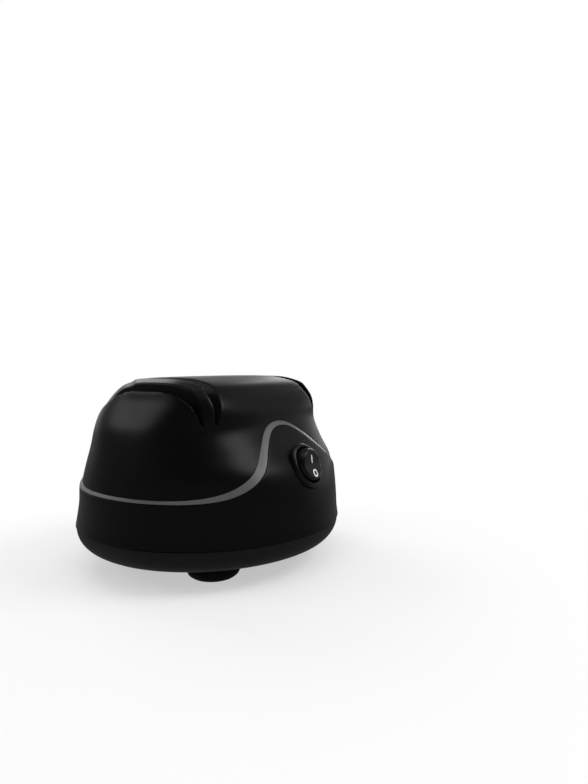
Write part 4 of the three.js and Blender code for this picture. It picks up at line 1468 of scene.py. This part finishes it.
def screw(name, head, tip, matrix, node):
    """Pan-head screw with a cross recess, its head's face at the low end."""
    width, reach, deep = CROSS
    face = head - SCREW_HEAD_HEIGHT
    body = turned(name, rounded([
        [0, face],
        [0.72 * SCREW_HEAD, face],
        [SCREW_HEAD, head - 0.55 * SCREW_HEAD_HEIGHT],
        [SCREW_HEAD, head],
        [SCREW_RADIUS, head],
        [SCREW_RADIUS, tip - SCREW_RADIUS],
        [0, tip],
    ], EDGE), ROUND_STEPS)
    for x, y in ((width, reach), (reach, width)):
        combine(body, [block("cross", (-x, -y, face - CUT_SPARE), (x, y, face + deep))])
    move(body, matrix)
    finish_piece(body, ZINC, "case", [node])


def shaft_line():
    motor_shaft()
    core = sleeve_profile(SHAFT_BORE, [[ROTOR_RADIUS, -STACK_HALF], [ROTOR_RADIUS, STACK_HALF]])
    on_shaft("rotor_stack", core, 1, "rotor", "rotor_core", LAMINATION, WIDE_STEPS)
    bush_low, bush_high, bush_radius = BUSH
    washer_low, washer_high, washer_radius = WASHER
    hub_low, collar_high, hub_high = HUB
    bush = sleeve_profile(SHAFT_BORE, [[bush_radius, bush_low], [bush_radius, bush_high]])
    washer = sleeve_profile(SHAFT_BORE, [[washer_radius, washer_low], [washer_radius, washer_high]])
    hub = sleeve_profile(SHAFT_BORE, [
        [COLLAR_RADIUS, hub_low], [COLLAR_RADIUS, collar_high],
        [HUB_RADIUS, collar_high], [HUB_RADIUS, hub_high],
    ])
    grades = (("coarse", COARSE), ("fine", FINE))
    for side, end, (grade, grit) in zip((-1, 1), ("left", "right"), grades):
        on_shaft(f"bush_{end}", bush, side, "case", f"bearing_bush_{end}", BRONZE)
        node = f"thrust_washer_{end}"
        on_shaft(f"washer_{end}", washer, side, "rotor", node, BRIGHT)
        on_shaft(f"hub_{end}", hub, side, "rotor", f"drive_hub_{end}", ZINC)
        for lean, place in ((-1, "inner"), (1, "outer")):
            grinding_disc(f"{grade}_disc_{place}", side, lean, grit)
        wave_spring(f"wave_spring_{end}", side)
        shaft_nut(f"shaft_nut_{end}", side)


def screws():
    for name, place in zip(CORNERS, corner_places(BOSS_PLACE)):
        tip = BOSS_FOOT + SCREW_BITE
        screw(f"screw_{name}", SCREW_LEVEL, tip, shift(*place), f"case_screw_{name}")
    for name, y in (("front", -MOTOR_SCREW_Y), ("rear", MOTOR_SCREW_Y)):
        place = shift(0, y) @ shaft_frame(-1)
        tip = BRACKET_FACE - GAP + SCREW_HEAD_HEIGHT
        screw(f"through_screw_{name}", -BRACKET_FACE, tip, place, f"bracket_screw_{name}")


shaft_line()
screws()


# Carried-over pieces

CARRIED = {
    "motor_stator": LAMINATION,
    "coil_bobbin": NYLON,
    "coil_winding": COPPER,
    "bearing_bracket": ZINC,
    "cooling_fan": FAN,
}


def dress_carried():
    for name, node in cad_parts.items():
        for start, material in CARRIED.items():
            if name.startswith(start):
                node.material_slots[0].material = material


dress_carried()


# Studio

ROOM_LIGHT = 0.45
ROOM_LEVEL = 0.06
FLOOR_LEVEL = 0.22
HIGH_LEVEL = 0.2
FLOOR_REACH = 4.0
FLOOR_TONE = 0.9
WHITE_FROM = (0.08, 0.32)
WHITE_SHARE = (0.5, 1.0)
SWEEP = (0.25, 0.85)
SWEEP_HEIGHT = (0.1, 0.5)

# Name, place and aim in metres, width and height in metres, and power in watts
SOFTBOXES = [
    ("overhead", (-0.1, -0.1, 1.15), (0, 0, 0.05), (0.9, 0.9), 2.6),
    ("front_right", (0.36, -0.68, 0.78), (0, 0, 0.07), (0.5, 0.45), 4.2),
    ("rear_right", (0.25, 0.85, 0.72), (0, 0, 0.07), (0.6, 0.4), 3.5),
    ("right_end", (0.92, 0.3, 0.3), (0, 0, 0.06), (0.4, 0.3), 1.2),
    ("rear_left", (-0.5, 0.66, 0.46), (0, 0, 0.07), (0.4, 0.25), 1.3),
]


def add_floor():
    corners = [(x * FLOOR_REACH, y * FLOOR_REACH, 0) for x, y in CORNERS.values()]
    mesh = bpy.data.meshes.new("floor")
    mesh.from_pydata(corners, [], [(0, 1, 3, 2)])
    floor = bpy.data.objects.new("floor", mesh)
    bpy.context.scene.collection.objects.link(floor)
    floor.data.materials.append(floor_white())


def floor_white():
    """Pale floor that keeps the shadow and turns to plain white away from the object."""
    finish = Finish("floor_white")
    tone = (FLOOR_TONE, FLOOR_TONE, FLOOR_TONE, 1)
    finish.set(Roughness=1.0, Specular_IOR_Level=0.0, Base_Color=tone)
    tree = finish.tree
    away = arithmetic(tree, "LENGTH", finish.place, kind="ShaderNodeVectorMath")
    far = ramp(tree, away, WHITE_FROM, WHITE_SHARE)
    path = tree.nodes.new("ShaderNodeLightPath").outputs
    glossy = path["Is Glossy Ray"]
    direct = arithmetic(tree, "MAXIMUM", path["Is Camera Ray"], path["Is Transmission Ray"])
    white = arithmetic(tree, "MULTIPLY", far, direct)
    white = arithmetic(tree, "MAXIMUM", white, glossy)
    glow = finish.add("ShaderNodeEmission", Strength=blend(tree, glossy, 1.0, FLOOR_LEVEL))
    mix = finish.add("ShaderNodeMixShader", Fac=white)
    put(tree, finish.shader.outputs["BSDF"], mix.inputs[1])
    put(tree, glow.outputs["Emission"], mix.inputs[2])
    put(tree, mix.outputs["Shader"], tree.nodes["Material Output"].inputs["Surface"])
    return finish.material


def add_world():
    """Even room light, and for reflections a white backdrop behind a dimmer room."""
    world = bpy.data.worlds.new("studio")
    bpy.context.scene.world = world
    world.use_nodes = True
    tree = world.node_tree
    background = tree.nodes["Background"]
    background.inputs["Color"].default_value = (1, 1, 1, 1)
    direction = tree.nodes.new("ShaderNodeTexCoord").outputs["Generated"]
    ahead = arithmetic(
        tree, "DOT_PRODUCT", direction, CAMERA_AIM, kind="ShaderNodeVectorMath"
    )
    sweep = ramp(tree, ahead, SWEEP, (ROOM_LEVEL, 1.0))
    height = add_node(tree, "ShaderNodeSeparateXYZ", Vector=direction).outputs["Z"]
    seen = arithmetic(tree, "MULTIPLY", sweep, ramp(tree, height, SWEEP_HEIGHT, (1.0, HIGH_LEVEL)))
    path = tree.nodes.new("ShaderNodeLightPath").outputs
    sharp = arithmetic(tree, "MAXIMUM", path["Is Glossy Ray"], path["Is Transmission Ray"])
    level = blend(tree, sharp, ROOM_LIGHT, seen)
    level = blend(tree, path["Is Camera Ray"], level, 1.0)
    put(tree, level, background.inputs["Strength"])


def add_softbox(name, place, aim, size, power):
    data = bpy.data.lights.new(name, "AREA")
    data.shape = "RECTANGLE"
    data.size, data.size_y = size
    data.energy = power
    light = bpy.data.objects.new(name, data)
    light.location = place
    light.rotation_euler = (Vector(aim) - Vector(place)).to_track_quat("-Z", "Y").to_euler()
    bpy.context.scene.collection.objects.link(light)


add_floor()
add_world()
for softbox in SOFTBOXES:
    add_softbox(*softbox)
bpy.context.scene.view_settings.view_transform = "Standard"
